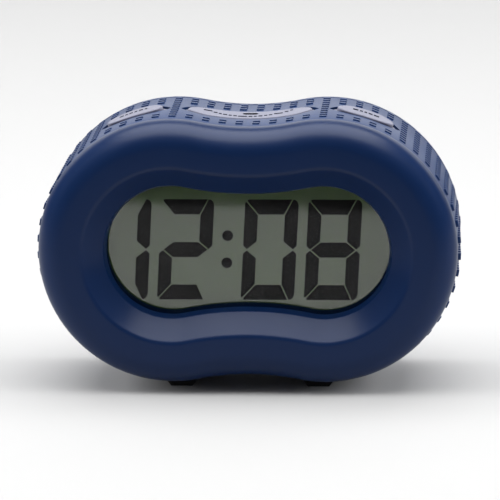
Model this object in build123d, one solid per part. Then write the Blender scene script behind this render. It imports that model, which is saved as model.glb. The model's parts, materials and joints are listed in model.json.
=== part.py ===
from build123d import *
from math import acos, asin, cos, degrees, floor, radians, sin, sqrt
import os

# A bedside digital alarm clock with a case shaped like a peanut seen from the front.
# Millimetres. X runs to the right seen from the front, Y to the back, Z up from the table.
# A radius of the case is an offset of its outline, measured from either lobe centre.
# A depth runs back from the front edge of the bezel.

# Case outline
CASE_WIDTH = 125.0  # over the bezel
LOBE_RADIUS = 39.8  # bezel, about each lobe centre
WAIST_DIP = 2.3  # how far the waist lies inside the lobes

# Depths of the three bands of the case
BEZEL_DEPTH = 9.0
BAND_DEPTH = 34.0
REAR_DEPTH = 5.0

# Clearances
SEAT_GAP = 0.1  # fixed pieces that slot together
SLIP_GAP = 0.3  # pieces that slide or turn

# Bezel
BEZEL_WALL = 2.4
ROLL_RADIUS = 7.7  # round-over from the side to the front
RIM_FLAT = 4.8  # flat front ring between the round-over and the crease
COVE_WIDTH = 7.8  # from the crease in to the window opening
COVE_DEPTH = 8.6  # from the crease back to the window
COVE_STEEP = 66.0  # angle of the cove at the crease
COVE_FOOT_WIDTH = 3.9  # where the cove lies flattest
COVE_FOOT_DEPTH = 4.6
LIP_WIDTH = 1.1  # rolled edge round the window
LIP_DEPTH = 1.6
LIP_SEAT = 2.1  # width of the back of the lip, on the window
PEG_DIAMETER = 3.2
PEG_INSET = 3.1  # from the inside of the case to the pegs
PEG_PROUD = 1.4

# Window, display and main board
WINDOW_THICKNESS = 1.6
WINDOW_OVERLAP = 4.5  # behind the bezel
FRONT_WALL = 1.8
SIGHT_MARGIN = 1.3  # front wall opening outside the bezel opening
DISPLAY_MARGIN = 0.5  # display outside the front wall opening
GLASS = 1.1
DISPLAY_LEDGE = 3.0  # front glass below the rear glass
HOLDER_WALL = 1.2
GUIDE_THICKNESS = 3.0
GUIDE_INSET = 1.0
STRIP_WIDTH = 2.0
LED_HEIGHT = 0.9
LED_WIDTH = 3.2
LED_DEPTH = 1.6
LED_INSET = 6.0
BOARD_THICKNESS = 1.6
BOARD_MARGIN = 3.1  # to the inside of the case
CHIP_DIAMETER = 12.0
CHIP_HEIGHT = 1.8
CHIP_CHAMFER = 1.2
CHIP_X = -20.0
CRYSTAL_DIAMETER = 2.1
CRYSTAL_LENGTH = 6.2
CRYSTAL_X = 18.0
CRYSTAL_Z = -8.0

# Middle case and tread band
CASE_WALL = 2.4
BAND_THICKNESS = 1.4
BAND_STEP = 0.1  # band inside the bezel
COLUMN_COUNT = 68
RIB_WIDTH = 2.1
RIB_LENGTH = 1.35
RIB_HEIGHT = 0.5
RIB_PITCH = 3.1
RIB_START = 2.5  # smooth strip behind the bezel
RIB_END = 1.2  # least smooth strip before the rear cover
RIB_ROOT = 0.6  # rib sunk in the band

# Keys on top
SNOOZE_LENGTH = 40.4  # pointed opening
SIDE_LENGTH = 21.2
KEY_WIDTH = 11.3
KEY_POINT_ARC = 10.0  # radius of the two arcs that meet in each point
SIDE_COLUMN = 7  # side keys lie this many rib columns from the middle
KEY_MARGIN = 1.4  # smooth band round an opening
KEY_GAP = 0.4
SNOOZE_END = 4.0  # rounded ends of the caps
SIDE_END = 4.5
SNOOZE_RISE = 0.25  # finger faces above the band
SIDE_RISE = 0.5
SIDE_CROWN = 60.0  # radius of the side keys' finger faces, flatter than the band
KEY_ROUND = 0.6
TOP_EDGE_SLOPE = 0.5  # steepest edge of a finger face, against the travel
KEY_WALL = 1.6
FLANGE_LIP = 1.2
FLANGE_THICKNESS = 1.2
KEY_TRAVEL = 0.7
STEM_DIAMETER = 3.2
SENSOR_LENGTH = 4.6
SENSOR_WIDTH = 2.2
SENSOR_THICKNESS = 1.2
SENSOR_BACK = 1.6  # behind the middle of the key

# Push switches under the keys
SWITCH_WIDTH = 6.0
SWITCH_STANDOFF = 5.0  # out from the board
SWITCH_BODY = 3.5
SWITCH_SINK = 1.6  # below the board's edge
PLUNGER_DIAMETER = 3.0
PLUNGER_PROUD = 1.2
PLUNGER_AXIS = 2.6  # from the board
PLUNGER_ROOT = 1.0

# Photocell under the snooze key
CELL_EYE_DIAMETER = 4.4
CELL_EYE_HEIGHT = 2.0
CELL_EYE_SINK = 2.0  # below the board's edge
LEAD_DIAMETER = 0.6
LEAD_SPACING = 2.6
LEAD_DROP = 2.0

# Feet
FOOT_DROP = 3.0  # table below the bezel
FOOT_INNER = 17.4
FOOT_OUTER = 23.8
FOOT_FLARE = 2.2
FOOT_START = 3.8  # behind the bezel
FOOT_LENGTH = 25.0
FOOT_PEG = 4.0
FOOT_PEG_PROUD = 1.5
FOOT_PEG_INSET = 5.0

# Rear cover
REAR_STEP = 0.0  # inside the bezel outline
REAR_ROUND = 4.0
REAR_WALL = 2.0
REAR_RIM = 2.8
LIP_REACH = 2.5
LIP_WALL = 1.5
SCREW_Z = 18.0
CASE_BOSS = 6.0
REAR_BOSS = 7.0
CASE_SHANK = 2.6
CASE_SHANK_LENGTH = 12.0
CASE_HEAD = 5.2
CASE_HEAD_HEIGHT = 1.8
HEAD_SINK = 0.8  # screw heads below the back face
BOARD_BOSS = 5.0
BOARD_SCREW_X = 14.0
SMALL_SHANK = 1.8
SMALL_SHANK_LENGTH = 6.0
SMALL_HEAD = 4.0
SMALL_HEAD_HEIGHT = 1.4

# Buzzer
BUZZER_DIAMETER = 20.0
BUZZER_HEIGHT = 3.5
BUZZER_MOUTH = 16.0
BUZZER_MOUTH_DEPTH = 1.0
BUZZER_WALL = 1.2
SOUND_Z = 13.0
SOUND_HOLE = 2.0
SOUND_RING = 4.5
SOUND_COUNT = 6  # round the middle hole

# Slide switches on the back
SLIDE_X = 27.0
SLIDE_BOARD_THICKNESS = 1.2
SLIDE_BOARD_HEIGHT = 11.0
SLIDE_BOARD_EDGE = 9.0  # beyond the switches
SLIDE_BODY_LENGTH = 12.0
SLIDE_BODY_WIDTH = 5.6
SLIDE_BODY_HEIGHT = 3.8
SLIDE_BODY_FLOOR = 1.2
LEVER_SIZE = 1.6
LEVER_PROUD = 1.3
LEVER_TO_WALL = 1.4  # from the switch body to the rear wall
ALARM_TRAVEL = 3.0  # off to on
MODE_TRAVEL = 3.0  # each way
KNOB_LENGTH = 7.0
KNOB_WIDTH = 5.4
KNOB_HEIGHT = 1.0
KNOB_STEM_LENGTH = 3.4
KNOB_STEM_WIDTH = 2.8
KNOB_GROOVE = 0.5
KNOB_GROOVE_PITCH = 1.5
POCKET_DEPTH = 1.2
SLIDE_BOSS_X = 16.4

# Batteries and their door
CELL_DIAMETER = 10.5
CELL_LENGTH = 44.5
NUB_DIAMETER = 3.8
NUB_LENGTH = 1.2
CELL_CHAMFER = 0.5
CELL_PITCH = 11.3
CELL_SIDE_GAP = 0.5
DOOR_CELL_GAP = 0.5
CONTACT = 0.4
CONTACT_WIDTH = 7.0
SPRING_ROOM = 5.0
SPRING_BEND = 0.6
WELL_WALL = 1.5
WELL_Z = -15.0
DOOR_THICKNESS = 1.6
DOOR_LEDGE = 1.6
DOOR_CORNER = 2.5
LUG_X = 16.0
LUG_WIDTH = 6.0
LUG_THICKNESS = 1.4
LUG_REACH = 2.0
LUG_SWING = 1.0
TONGUE_WIDTH = 12.0
TONGUE_LENGTH = 6.0
TONGUE_SLIT = 0.8
GRIP_GROOVE = 0.6
NOTCH_RADIUS = 6.0
NOTCH_DEPTH = 1.2

# Ribbon cable between the boards
RIBBON_WIDTH = 12.0
RIBBON_THICKNESS = 0.5
RIBBON_BEND = 4.0
RIBBON_START_Z = 2.0
RIBBON_END_Z = 10.0

# Outline worked out from the driving sizes
LOBE_X = CASE_WIDTH / 2 - LOBE_RADIUS
WAIST_REACH = (WAIST_DIP**2 + LOBE_X**2) / (2 * WAIST_DIP)
WAIST_Z = WAIST_REACH - WAIST_DIP
WAIST_SWEEP = degrees(asin(LOBE_X / WAIST_REACH))
LOBE_SWEEP = 90 + WAIST_SWEEP
BAND_RADIUS = LOBE_RADIUS - BAND_STEP
CASE_RADIUS = BAND_RADIUS - BAND_THICKNESS
CASE_INSIDE = CASE_RADIUS - CASE_WALL
REAR_RADIUS = LOBE_RADIUS - REAR_STEP
CREASE_RADIUS = LOBE_RADIUS - ROLL_RADIUS - RIM_FLAT
WINDOW_RADIUS = CREASE_RADIUS - COVE_WIDTH
SIGHT_RADIUS = WINDOW_RADIUS + SIGHT_MARGIN
PEG_RADIUS = CASE_INSIDE - PEG_INSET
BOARD_RADIUS = CASE_INSIDE - BOARD_MARGIN
CENTRE_Z = LOBE_RADIUS + FOOT_DROP

# Depths worked out from front to back
BAND_BACK = BEZEL_DEPTH + BAND_DEPTH
BACK = BAND_BACK + REAR_DEPTH
FRONT_Y = -BACK / 2
WINDOW_BACK = COVE_DEPTH + WINDOW_THICKNESS
WALL_BACK = WINDOW_BACK + FRONT_WALL
GUIDE_FRONT = WALL_BACK + 2 * GLASS
GUIDE_BACK = GUIDE_FRONT + GUIDE_THICKNESS
BOARD_FRONT = GUIDE_BACK + LED_HEIGHT + SEAT_GAP
BOARD_BACK = BOARD_FRONT + BOARD_THICKNESS
KEY_DEPTH = BEZEL_DEPTH + BAND_DEPTH / 2
REAR_INSIDE = BACK - REAR_WALL

# Display, its holder and the screws that stand round it
DISPLAY_WIDTH = 2 * (LOBE_X + SIGHT_RADIUS + DISPLAY_MARGIN)
DISPLAY_TOP = SIGHT_RADIUS + DISPLAY_MARGIN
DISPLAY_BOTTOM = DISPLAY_TOP + DISPLAY_LEDGE
HOLDER_RIM = SEAT_GAP + HOLDER_WALL
CASE_SCREW_X = DISPLAY_WIDTH / 2 + HOLDER_RIM + CASE_BOSS / 2 + SLIP_GAP
BOARD_SCREW_Z = DISPLAY_BOTTOM + HOLDER_RIM + BOARD_BOSS / 2 + SLIP_GAP
BOARD_WIDTH = 2 * (CASE_SCREW_X - CASE_BOSS / 2 - SLIP_GAP)

# Heights of the key parts, as radii
FLANGE_TOP = CASE_INSIDE - SLIP_GAP
FLANGE_BOTTOM = FLANGE_TOP - FLANGE_THICKNESS
SWITCH_TOP = BOARD_RADIUS - SWITCH_SINK
STEM_END = SWITCH_TOP + PLUNGER_PROUD
STEM_BACK = BOARD_BACK + PLUNGER_AXIS - KEY_DEPTH

# Battery well
WELL_WIDTH = CELL_LENGTH + SPRING_ROOM + CONTACT + SEAT_GAP
WELL_HEIGHT = CELL_PITCH + CELL_DIAMETER + 2 * CELL_SIDE_GAP
DOOR_SEAT = BACK - DOOR_THICKNESS
CELL_DEPTH = DOOR_SEAT - DOOR_CELL_GAP - CELL_DIAMETER / 2
WELL_FLOOR = CELL_DEPTH - CELL_DIAMETER / 2 - SEAT_GAP
DOOR_WIDTH = WELL_WIDTH + 2 * DOOR_LEDGE
DOOR_HEIGHT = WELL_HEIGHT + 2 * DOOR_LEDGE
DOOR_BOTTOM = WELL_Z - DOOR_HEIGHT / 2
LUG_OUT = REAR_INSIDE - SLIP_GAP
LUG_IN = LUG_OUT - LUG_THICKNESS

# Slide switches
POCKET_FLOOR = BACK - POCKET_DEPTH
SLIDE_BODY_OUT = REAR_INSIDE - LEVER_TO_WALL
SLIDE_BOARD_BACK = SLIDE_BODY_OUT - SLIDE_BODY_HEIGHT
SLIDE_BOARD_FRONT = SLIDE_BOARD_BACK - SLIDE_BOARD_THICKNESS
LEVER_END = SLIDE_BODY_OUT + LEVER_PROUD

CASE_SCREWS = [(x, z) for x in (-CASE_SCREW_X, CASE_SCREW_X) for z in (-SCREW_Z, SCREW_Z)]
BOARD_SCREWS = [(x, z) for x in (-BOARD_SCREW_X, BOARD_SCREW_X) for z in (-BOARD_SCREW_Z, BOARD_SCREW_Z)]
SLIDE_SCREWS = [(-SLIDE_BOSS_X, SOUND_Z), (SLIDE_BOSS_X, SOUND_Z)]
END_PEGS = [(-LOBE_X - PEG_RADIUS, 0), (LOBE_X + PEG_RADIUS, 0)]
BEZEL_PEGS = [(x, z) for x in (-LOBE_X, LOBE_X) for z in (-PEG_RADIUS, PEG_RADIUS)] + END_PEGS
FOOT_PEG_DEPTHS = [
    BEZEL_DEPTH + FOOT_START + FOOT_PEG_INSET,
    BEZEL_DEPTH + FOOT_START + FOOT_LENGTH - FOOT_PEG_INSET,
]
FOOT_MIDDLE = (FOOT_INNER + FOOT_OUTER) / 2


# Shapes that the pieces share


def depth_plane(depth):
    """Upright plane seen from the front, x to the right and y up, centred on the case."""
    return Plane(origin=(0, FRONT_Y + depth, CENTRE_Z), x_dir=(1, 0, 0), z_dir=(0, -1, 0))


def slab(face, near, far):
    """Upright face thickened between two depths."""
    return extrude(depth_plane(far) * face, amount=far - near)


def rod(place, diameter, near, far):
    return slab(Pos(*place) * Circle(diameter / 2), near, far)


def block(place, width, height, near, far):
    return slab(Pos(*place) * Rectangle(width, height), near, far)


def peanut(radius):
    """Case outline at one offset: two lobes joined by hollow waists."""
    waist_radius = WAIST_REACH - radius
    edges = []
    for side, turn in ((1, 0), (-1, 180)):
        edges.append(CenterArc((side * LOBE_X, 0), radius, turn - LOBE_SWEEP, 2 * LOBE_SWEEP))
        start = turn - 90 - WAIST_SWEEP
        edges.append(CenterArc((0, side * WAIST_Z), waist_radius, start, 2 * WAIST_SWEEP))
    return make_face(edges)


def ring(section):
    """A section carried round the whole outline; its x is the radius and its y the depth."""
    lobe_axis = Axis((LOBE_X, 0, CENTRE_Z), (0, 1, 0))
    lobe = revolve(Pos(LOBE_X, FRONT_Y, CENTRE_Z) * section, lobe_axis, 2 * LOBE_SWEEP)
    lobe = lobe.rotate(lobe_axis, -LOBE_SWEEP)
    waist_axis = Axis((0, 0, CENTRE_Z + WAIST_Z), (0, 1, 0))
    waist_origin = (0, FRONT_Y, CENTRE_Z + WAIST_Z - WAIST_REACH)
    waist_plane = Plane(origin=waist_origin, x_dir=(0, 0, 1), z_dir=(-1, 0, 0))
    waist = revolve(waist_plane * section, waist_axis, 2 * WAIST_SWEEP)
    waist = waist.rotate(waist_axis, -WAIST_SWEEP)
    middle = Plane.XY.offset(CENTRE_Z)
    return lobe + [mirror(lobe, about=Plane.YZ), waist, mirror(waist, about=middle)]


def outline_lengths(radius):
    """Lengths of half a waist and of one lobe along the outline."""
    return radians(WAIST_SWEEP) * (WAIST_REACH - radius), radians(2 * LOBE_SWEEP) * radius


def outline_point(travel, radius):
    """Place and outward tilt at a distance along the outline from the top middle, positive to the right."""
    side = -1 if travel < 0 else 1
    half_waist, lobe = outline_lengths(radius)
    waist_radius = WAIST_REACH - radius
    along = abs(travel)
    if along < half_waist:
        tilt = -along / waist_radius
        x, z = -waist_radius * sin(tilt), WAIST_Z - waist_radius * cos(tilt)
    elif along < half_waist + lobe:
        tilt = (along - half_waist) / radius - radians(WAIST_SWEEP)
        x, z = LOBE_X + radius * sin(tilt), radius * cos(tilt)
    else:
        turn = radians(WAIST_SWEEP) - (along - half_waist - lobe) / waist_radius
        tilt = radians(180) + turn
        x, z = waist_radius * sin(turn), waist_radius * cos(turn) - WAIST_Z
    return side * x, z, side * tilt


def outline_plane(travel, depth):
    """Plane on the tread band: x along the outline, y to the back, z outward."""
    x, z, tilt = outline_point(travel, BAND_RADIUS)
    origin = (x, FRONT_Y + depth, CENTRE_Z + z)
    return Plane(origin=origin, x_dir=(cos(tilt), 0, -sin(tilt)), z_dir=(sin(tilt), 0, cos(tilt)))


COLUMN_PITCH = 2 * (2 * outline_lengths(BAND_RADIUS)[0] + outline_lengths(BAND_RADIUS)[1]) / COLUMN_COUNT
SIDE_TRAVEL = SIDE_COLUMN * COLUMN_PITCH
KEYS = {
    "snooze": (0.0, SNOOZE_LENGTH, SNOOZE_END),
    "left": (-SIDE_TRAVEL, SIDE_LENGTH, SIDE_END),
    "right": (SIDE_TRAVEL, SIDE_LENGTH, SIDE_END),
}


def almond(length, inset=0.0):
    """Straight sides, and two arcs that meet in a point at each end, drawn in by an inset."""
    below_axis = KEY_POINT_ARC - KEY_WIDTH / 2
    straight = length / 2 - sqrt(KEY_POINT_ARC**2 - below_axis**2)
    radius = KEY_POINT_ARC - inset
    turn = degrees(acos(below_axis / radius))
    half_width = KEY_WIDTH / 2 - inset
    side = Line((-straight, half_width), (straight, half_width))
    arc = CenterArc((straight, -below_axis), radius, 90 - turn, turn)
    upper = [side, arc, mirror(arc, about=Plane.YZ)]
    lower = [mirror(edge, about=Plane.XZ) for edge in upper]
    return make_face([*upper, *lower])


def key_prism(name, face, inward=CASE_RADIUS / 2, outward=CASE_RADIUS / 2):
    """A face on the band at a key, thickened along the key's own travel."""
    plane = outline_plane(KEYS[name][0], KEY_DEPTH)
    return extrude(plane.offset(-inward) * face, amount=inward + outward)


def key_openings():
    return [key_prism(name, almond(length)) for name, (_, length, _) in KEYS.items()]


def outline_height(x, radius):
    """Height of the outline over the case centre at a place across the case."""
    waist_radius = WAIST_REACH - radius
    if abs(x) < LOBE_X * waist_radius / WAIST_REACH:
        return WAIST_Z - sqrt(waist_radius**2 - x**2)
    return sqrt(radius**2 - (abs(x) - LOBE_X) ** 2)


def foot_peg_rods(side, diameter, low, high):
    """Upright rods through the bottom of the case, for the pegs of one foot."""
    rods = []
    for depth in FOOT_PEG_DEPTHS:
        plane = Plane(origin=(side * FOOT_MIDDLE, FRONT_Y + depth, CENTRE_Z + low))
        rods.append(extrude(plane * Circle(diameter / 2), amount=high - low))
    return rods


def foot_peg_holes():
    bore = FOOT_PEG + 2 * SEAT_GAP
    low = -LOBE_RADIUS
    high = -CASE_INSIDE / 2
    return foot_peg_rods(-1, bore, low, high) + foot_peg_rods(1, bore, low, high)


# Case


def front_bezel():
    """Hollow soft frame: rolled edge, flat ring, crease and cove down to the window."""
    roll_centre = (LOBE_RADIUS - ROLL_RADIUS, ROLL_RADIUS)
    crease = (CREASE_RADIUS, 0)
    cove_foot = (CREASE_RADIUS - COVE_FOOT_WIDTH, COVE_FOOT_DEPTH)
    lip = (WINDOW_RADIUS + LIP_WIDTH, COVE_DEPTH - LIP_DEPTH)
    edge = (WINDOW_RADIUS, COVE_DEPTH)
    steep = (-cos(radians(COVE_STEEP)), sin(radians(COVE_STEEP)))
    cove = TangentArc(crease, cove_foot, tangent=steep)
    shoulder = TangentArc(cove_foot, lip, tangent=cove % 1)
    inside = Polyline(
        edge,
        (WINDOW_RADIUS + LIP_SEAT, COVE_DEPTH),
        (cove_foot[0] + BEZEL_WALL, COVE_FOOT_DEPTH + BEZEL_WALL),
        (CREASE_RADIUS + BEZEL_WALL, BEZEL_WALL),
        (roll_centre[0], BEZEL_WALL),
    )
    section = make_face([
        Line((LOBE_RADIUS, BEZEL_DEPTH), (LOBE_RADIUS, ROLL_RADIUS)),
        CenterArc(roll_centre, ROLL_RADIUS, 0, -90),
        Line((roll_centre[0], 0), crease),
        cove,
        shoulder,
        TangentArc(lip, edge, tangent=shoulder % 1),
        inside,
        CenterArc(roll_centre, ROLL_RADIUS - BEZEL_WALL, -90, 90),
        Line((LOBE_RADIUS - BEZEL_WALL, ROLL_RADIUS), (LOBE_RADIUS - BEZEL_WALL, BEZEL_DEPTH)),
        Line((LOBE_RADIUS - BEZEL_WALL, BEZEL_DEPTH), (LOBE_RADIUS, BEZEL_DEPTH)),
    ])
    pegs = [rod(place, PEG_DIAMETER, BEZEL_WALL / 2, WALL_BACK + PEG_PROUD) for place in BEZEL_PEGS]
    return ring(section) + pegs


def rib_is_clear(travel, near):
    """Whether a rib keeps clear of the key openings and the feet."""
    for key_travel, length, _ in KEYS.values():
        beside = abs(travel - key_travel) - RIB_WIDTH / 2 > length / 2
        before = near + RIB_LENGTH < KEY_DEPTH - KEY_WIDTH / 2 - KEY_MARGIN
        behind = near > KEY_DEPTH + KEY_WIDTH / 2 + KEY_MARGIN
        if not (beside or before or behind):
            return False
    x, z, _ = outline_point(travel, BAND_RADIUS)
    reach = FOOT_FLARE + RIB_WIDTH
    return z > 0 or not FOOT_INNER - reach < abs(x) < FOOT_OUTER + reach


def tread_ribs():
    """Short cross ribs in columns all round the band."""
    rows = floor((BAND_DEPTH - RIB_START - RIB_END - RIB_LENGTH) / RIB_PITCH) + 1
    ribs = []
    for column in range(COLUMN_COUNT):
        travel = (column + 0.5 - COLUMN_COUNT / 2) * COLUMN_PITCH
        for row in range(rows):
            near = BEZEL_DEPTH + RIB_START + row * RIB_PITCH
            if rib_is_clear(travel, near):
                plane = outline_plane(travel, near + RIB_LENGTH / 2).offset((RIB_HEIGHT - RIB_ROOT) / 2)
                ribs.append(plane * Box(RIB_WIDTH, RIB_LENGTH, RIB_HEIGHT + RIB_ROOT))
    return ribs


def tread_band():
    """Soft band round the case, with its ribs and the key openings."""
    skin = slab(peanut(BAND_RADIUS) - peanut(CASE_RADIUS), BEZEL_DEPTH, BAND_BACK)
    return (skin + tread_ribs()) - key_openings() - foot_peg_holes()


def mid_case():
    """Hard tube with the wall that carries the window, the display and the board."""
    tube = slab(peanut(CASE_RADIUS) - peanut(CASE_INSIDE), BEZEL_DEPTH, BAND_BACK)
    wall = slab(peanut(CASE_INSIDE + CASE_WALL / 2) - peanut(SIGHT_RADIUS), WINDOW_BACK, WALL_BACK)
    bosses = [rod(place, CASE_BOSS, WINDOW_BACK, BAND_BACK) for place in CASE_SCREWS]
    bosses += [rod(place, BOARD_BOSS, WINDOW_BACK, BOARD_FRONT) for place in BOARD_SCREWS]
    screw_start = BACK - HEAD_SINK - CASE_HEAD_HEIGHT - CASE_SHANK_LENGTH
    pilot = CASE_SHANK + 2 * SEAT_GAP
    holes = [rod(place, pilot, screw_start - PEG_PROUD, BAND_BACK) for place in CASE_SCREWS]
    small_start = BOARD_BACK - SMALL_SHANK_LENGTH
    small_pilot = SMALL_SHANK + 2 * SEAT_GAP
    holes += [rod(place, small_pilot, small_start, BOARD_FRONT) for place in BOARD_SCREWS]
    peg_hole = PEG_DIAMETER + 2 * SEAT_GAP
    holes += [rod(place, peg_hole, WINDOW_BACK, WALL_BACK) for place in BEZEL_PEGS]
    return (tube + [wall] + bosses) - holes - key_openings() - foot_peg_holes()


def foot(side):
    """Soft rail with sloped ends that follows the band above and stands flat on the table."""
    ground = -LOBE_RADIUS - FOOT_DROP
    shoulder = ground + FOOT_DROP
    profile = Polyline(
        (side * FOOT_INNER, ground),
        (side * FOOT_OUTER, ground),
        (side * (FOOT_OUTER + FOOT_FLARE), shoulder),
        (side * (FOOT_OUTER + FOOT_FLARE), -CASE_INSIDE),
        (side * (FOOT_INNER - FOOT_FLARE), -CASE_INSIDE),
        (side * (FOOT_INNER - FOOT_FLARE), shoulder),
        close=True,
    )
    near = BEZEL_DEPTH + FOOT_START
    rail = slab(make_face(profile) - peanut(BAND_RADIUS), near, near + FOOT_LENGTH)
    peg_top = FOOT_PEG_PROUD - outline_height(FOOT_MIDDLE, CASE_INSIDE)
    return rail + foot_peg_rods(side, FOOT_PEG, ground + FOOT_DROP / 2, peg_top)


# Display and main board


def lcd_window():
    return slab(peanut(WINDOW_RADIUS + WINDOW_OVERLAP), COVE_DEPTH, WINDOW_BACK)


def display_face(inset):
    """Rectangle of the front glass drawn in by an inset."""
    height = DISPLAY_TOP + DISPLAY_BOTTOM
    middle = (DISPLAY_TOP - DISPLAY_BOTTOM) / 2
    return Pos(0, middle) * Rectangle(DISPLAY_WIDTH - 2 * inset, height - 2 * inset)


def lcd_panel():
    """Two bonded glasses, the front one with a contact ledge along its lower edge."""
    rear = block((0, 0), DISPLAY_WIDTH, 2 * DISPLAY_TOP, WALL_BACK + GLASS, GUIDE_FRONT)
    return slab(display_face(0), WALL_BACK, WALL_BACK + GLASS) + rear


def lcd_holder():
    """Frame that keeps the display, the light guide and the board apart."""
    outside = display_face(-HOLDER_RIM)
    outside = fillet(outside.vertices(), HOLDER_WALL)
    return slab(outside - display_face(-SEAT_GAP), WALL_BACK, BOARD_FRONT)


def light_guide():
    width = DISPLAY_WIDTH - 2 * GUIDE_INSET
    return block((0, 0), width, 2 * (DISPLAY_TOP - GUIDE_INSET), GUIDE_FRONT, GUIDE_BACK)


def contact_strip():
    """Rubber strip that joins the display's ledge to the board."""
    middle = -DISPLAY_TOP - DISPLAY_LEDGE / 2
    width = DISPLAY_WIDTH - 2 * GUIDE_INSET
    return block((0, middle), width, STRIP_WIDTH, WALL_BACK + GLASS, BOARD_FRONT)


def backlight_leds():
    places = [(side * (DISPLAY_WIDTH / 2 - LED_INSET), 0) for side in (-1, 1)]
    return [block(place, LED_DEPTH, LED_WIDTH, BOARD_FRONT - LED_HEIGHT, BOARD_FRONT) for place in places]


def main_board():
    """Upright board cut to the case outline at the top and bottom."""
    outline = peanut(BOARD_RADIUS) & Rectangle(BOARD_WIDTH, 2 * BOARD_RADIUS)
    holes = [rod(place, SMALL_SHANK + 2 * SEAT_GAP, BOARD_FRONT, BOARD_BACK) for place in BOARD_SCREWS]
    return slab(outline, BOARD_FRONT, BOARD_BACK) - holes


def controller_chip():
    """Round blob of resin over the bare chip."""
    blob = rod((CHIP_X, 0), CHIP_DIAMETER, BOARD_BACK, BOARD_BACK + CHIP_HEIGHT)
    edge = blob.edges().sort_by(Axis.Y)[-1]
    return chamfer(edge, CHIP_CHAMFER)


def clock_crystal():
    """Small can that lies on the board."""
    depth = BOARD_BACK + CRYSTAL_DIAMETER / 2
    plane = Plane(origin=(CRYSTAL_X, FRONT_Y + depth, CENTRE_Z + CRYSTAL_Z), z_dir=(1, 0, 0))
    return extrude(plane * Circle(CRYSTAL_DIAMETER / 2), amount=CRYSTAL_LENGTH)


# Keys and their switches


def key_shell(outer, inner):
    """The part of the case outline between two radii, over the depth of the keys."""
    near = KEY_DEPTH - KEY_WIDTH
    far = KEY_DEPTH + KEY_WIDTH
    return slab(peanut(outer) - peanut(inner), near, far)


def key_top(name):
    """Everything below the finger face of a key: along the band, or crowned about the key's axis."""
    if name == "snooze":
        return key_shell(BAND_RADIUS + SNOOZE_RISE, FLANGE_BOTTOM)
    near = KEY_DEPTH - KEY_WIDTH
    far = KEY_DEPTH + KEY_WIDTH
    middle = outline_plane(KEYS[name][0], KEY_DEPTH).offset(SIDE_RISE - SIDE_CROWN).origin
    crown = rod((middle.X, middle.Z - CENTRE_Z), 2 * SIDE_CROWN, near, far)
    return crown - slab(peanut(FLANGE_BOTTOM), near, far)


def key_cap(name):
    """Moulded cap with rounded ends, hollow below, with two catch flanges and a stem."""
    _, length, end = KEYS[name]
    face = almond(length, KEY_GAP)
    face = fillet([vertex for vertex in face.vertices() if abs(vertex.Y) < SLIP_GAP], end)
    cap = key_prism(name, face) & key_top(name)
    cap = fillet([edge for edge in cap.edges() if is_top(edge, name)], KEY_ROUND)
    hollow_face = offset(face, -KEY_WALL)
    hollow = key_prism(name, hollow_face) & key_shell(BAND_RADIUS - KEY_WALL, FLANGE_BOTTOM)
    span = face.bounding_box().size.X
    flange_face = almond(length, -FLANGE_LIP) & Rectangle(span, 2 * KEY_WIDTH)
    flange_face -= hollow_face
    flange = key_prism(name, flange_face) & key_shell(FLANGE_TOP, FLANGE_BOTTOM)
    stem_face = Pos(0, STEM_BACK) * Circle(STEM_DIAMETER / 2)
    stem = key_prism(name, stem_face, inward=BAND_RADIUS - STEM_END, outward=-KEY_WALL / 2)
    return (cap - hollow) + flange + stem


def on_radius(edge, radius):
    """Whether an edge lies on the case outline at a radius."""
    middle = edge @ 0.5
    x, z = abs(middle.X), middle.Z - CENTRE_Z
    if x * WAIST_Z < LOBE_X * (WAIST_Z - z):
        found = WAIST_REACH - sqrt(x**2 + (WAIST_Z - z) ** 2)
    else:
        found = sqrt((x - LOBE_X) ** 2 + z**2)
    return abs(found - radius) < KEY_ROUND / 2


def is_top(edge, name):
    """Whether an edge bounds the finger face: not upright or below, nor a joint across the face."""
    if on_radius(edge, FLANGE_BOTTOM) or edge.geom_type == GeomType.LINE:
        return False
    travel_axis = outline_plane(KEYS[name][0], KEY_DEPTH).z_dir
    return abs((edge % 0.5).dot(travel_axis)) < TOP_EDGE_SLOPE


def sensor_face():
    return Pos(0, SENSOR_BACK) * SlotOverall(SENSOR_LENGTH, SENSOR_WIDTH)


def sensor_seat(gap):
    """The recess for the sensor window, in the finger face of the snooze key."""
    top = BAND_RADIUS + SNOOZE_RISE
    skin = key_shell(top, top - SENSOR_THICKNESS - gap)
    face = offset(sensor_face(), gap) if gap else sensor_face()
    return key_prism("snooze", face) & skin


def snooze_key():
    light_way = key_prism("snooze", offset(sensor_face(), -KEY_GAP))
    return key_cap("snooze") - sensor_seat(SEAT_GAP) - light_way


def switch_axis_plane(name):
    """Plane at the top of a push switch, on the plunger's axis, z towards the key."""
    plane = outline_plane(KEYS[name][0], BOARD_BACK + PLUNGER_AXIS)
    return plane.offset(SWITCH_TOP - BAND_RADIUS)


def push_switch(name):
    """Housing on the back of the board, with a blind bore for its plunger."""
    plane = switch_axis_plane(name)
    face = Pos(0, SWITCH_STANDOFF / 2 - PLUNGER_AXIS) * Rectangle(SWITCH_WIDTH, SWITCH_STANDOFF)
    body = extrude(plane * face, amount=-SWITCH_BODY)
    bore_depth = KEY_TRAVEL + PLUNGER_ROOT + SLIP_GAP
    bore = extrude(plane * Circle(PLUNGER_DIAMETER / 2 + SLIP_GAP), amount=-bore_depth)
    return body - bore


def push_plunger(name):
    plane = switch_axis_plane(name).offset(-PLUNGER_ROOT)
    return extrude(plane * Circle(PLUNGER_DIAMETER / 2), amount=PLUNGER_ROOT + PLUNGER_PROUD)


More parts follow.
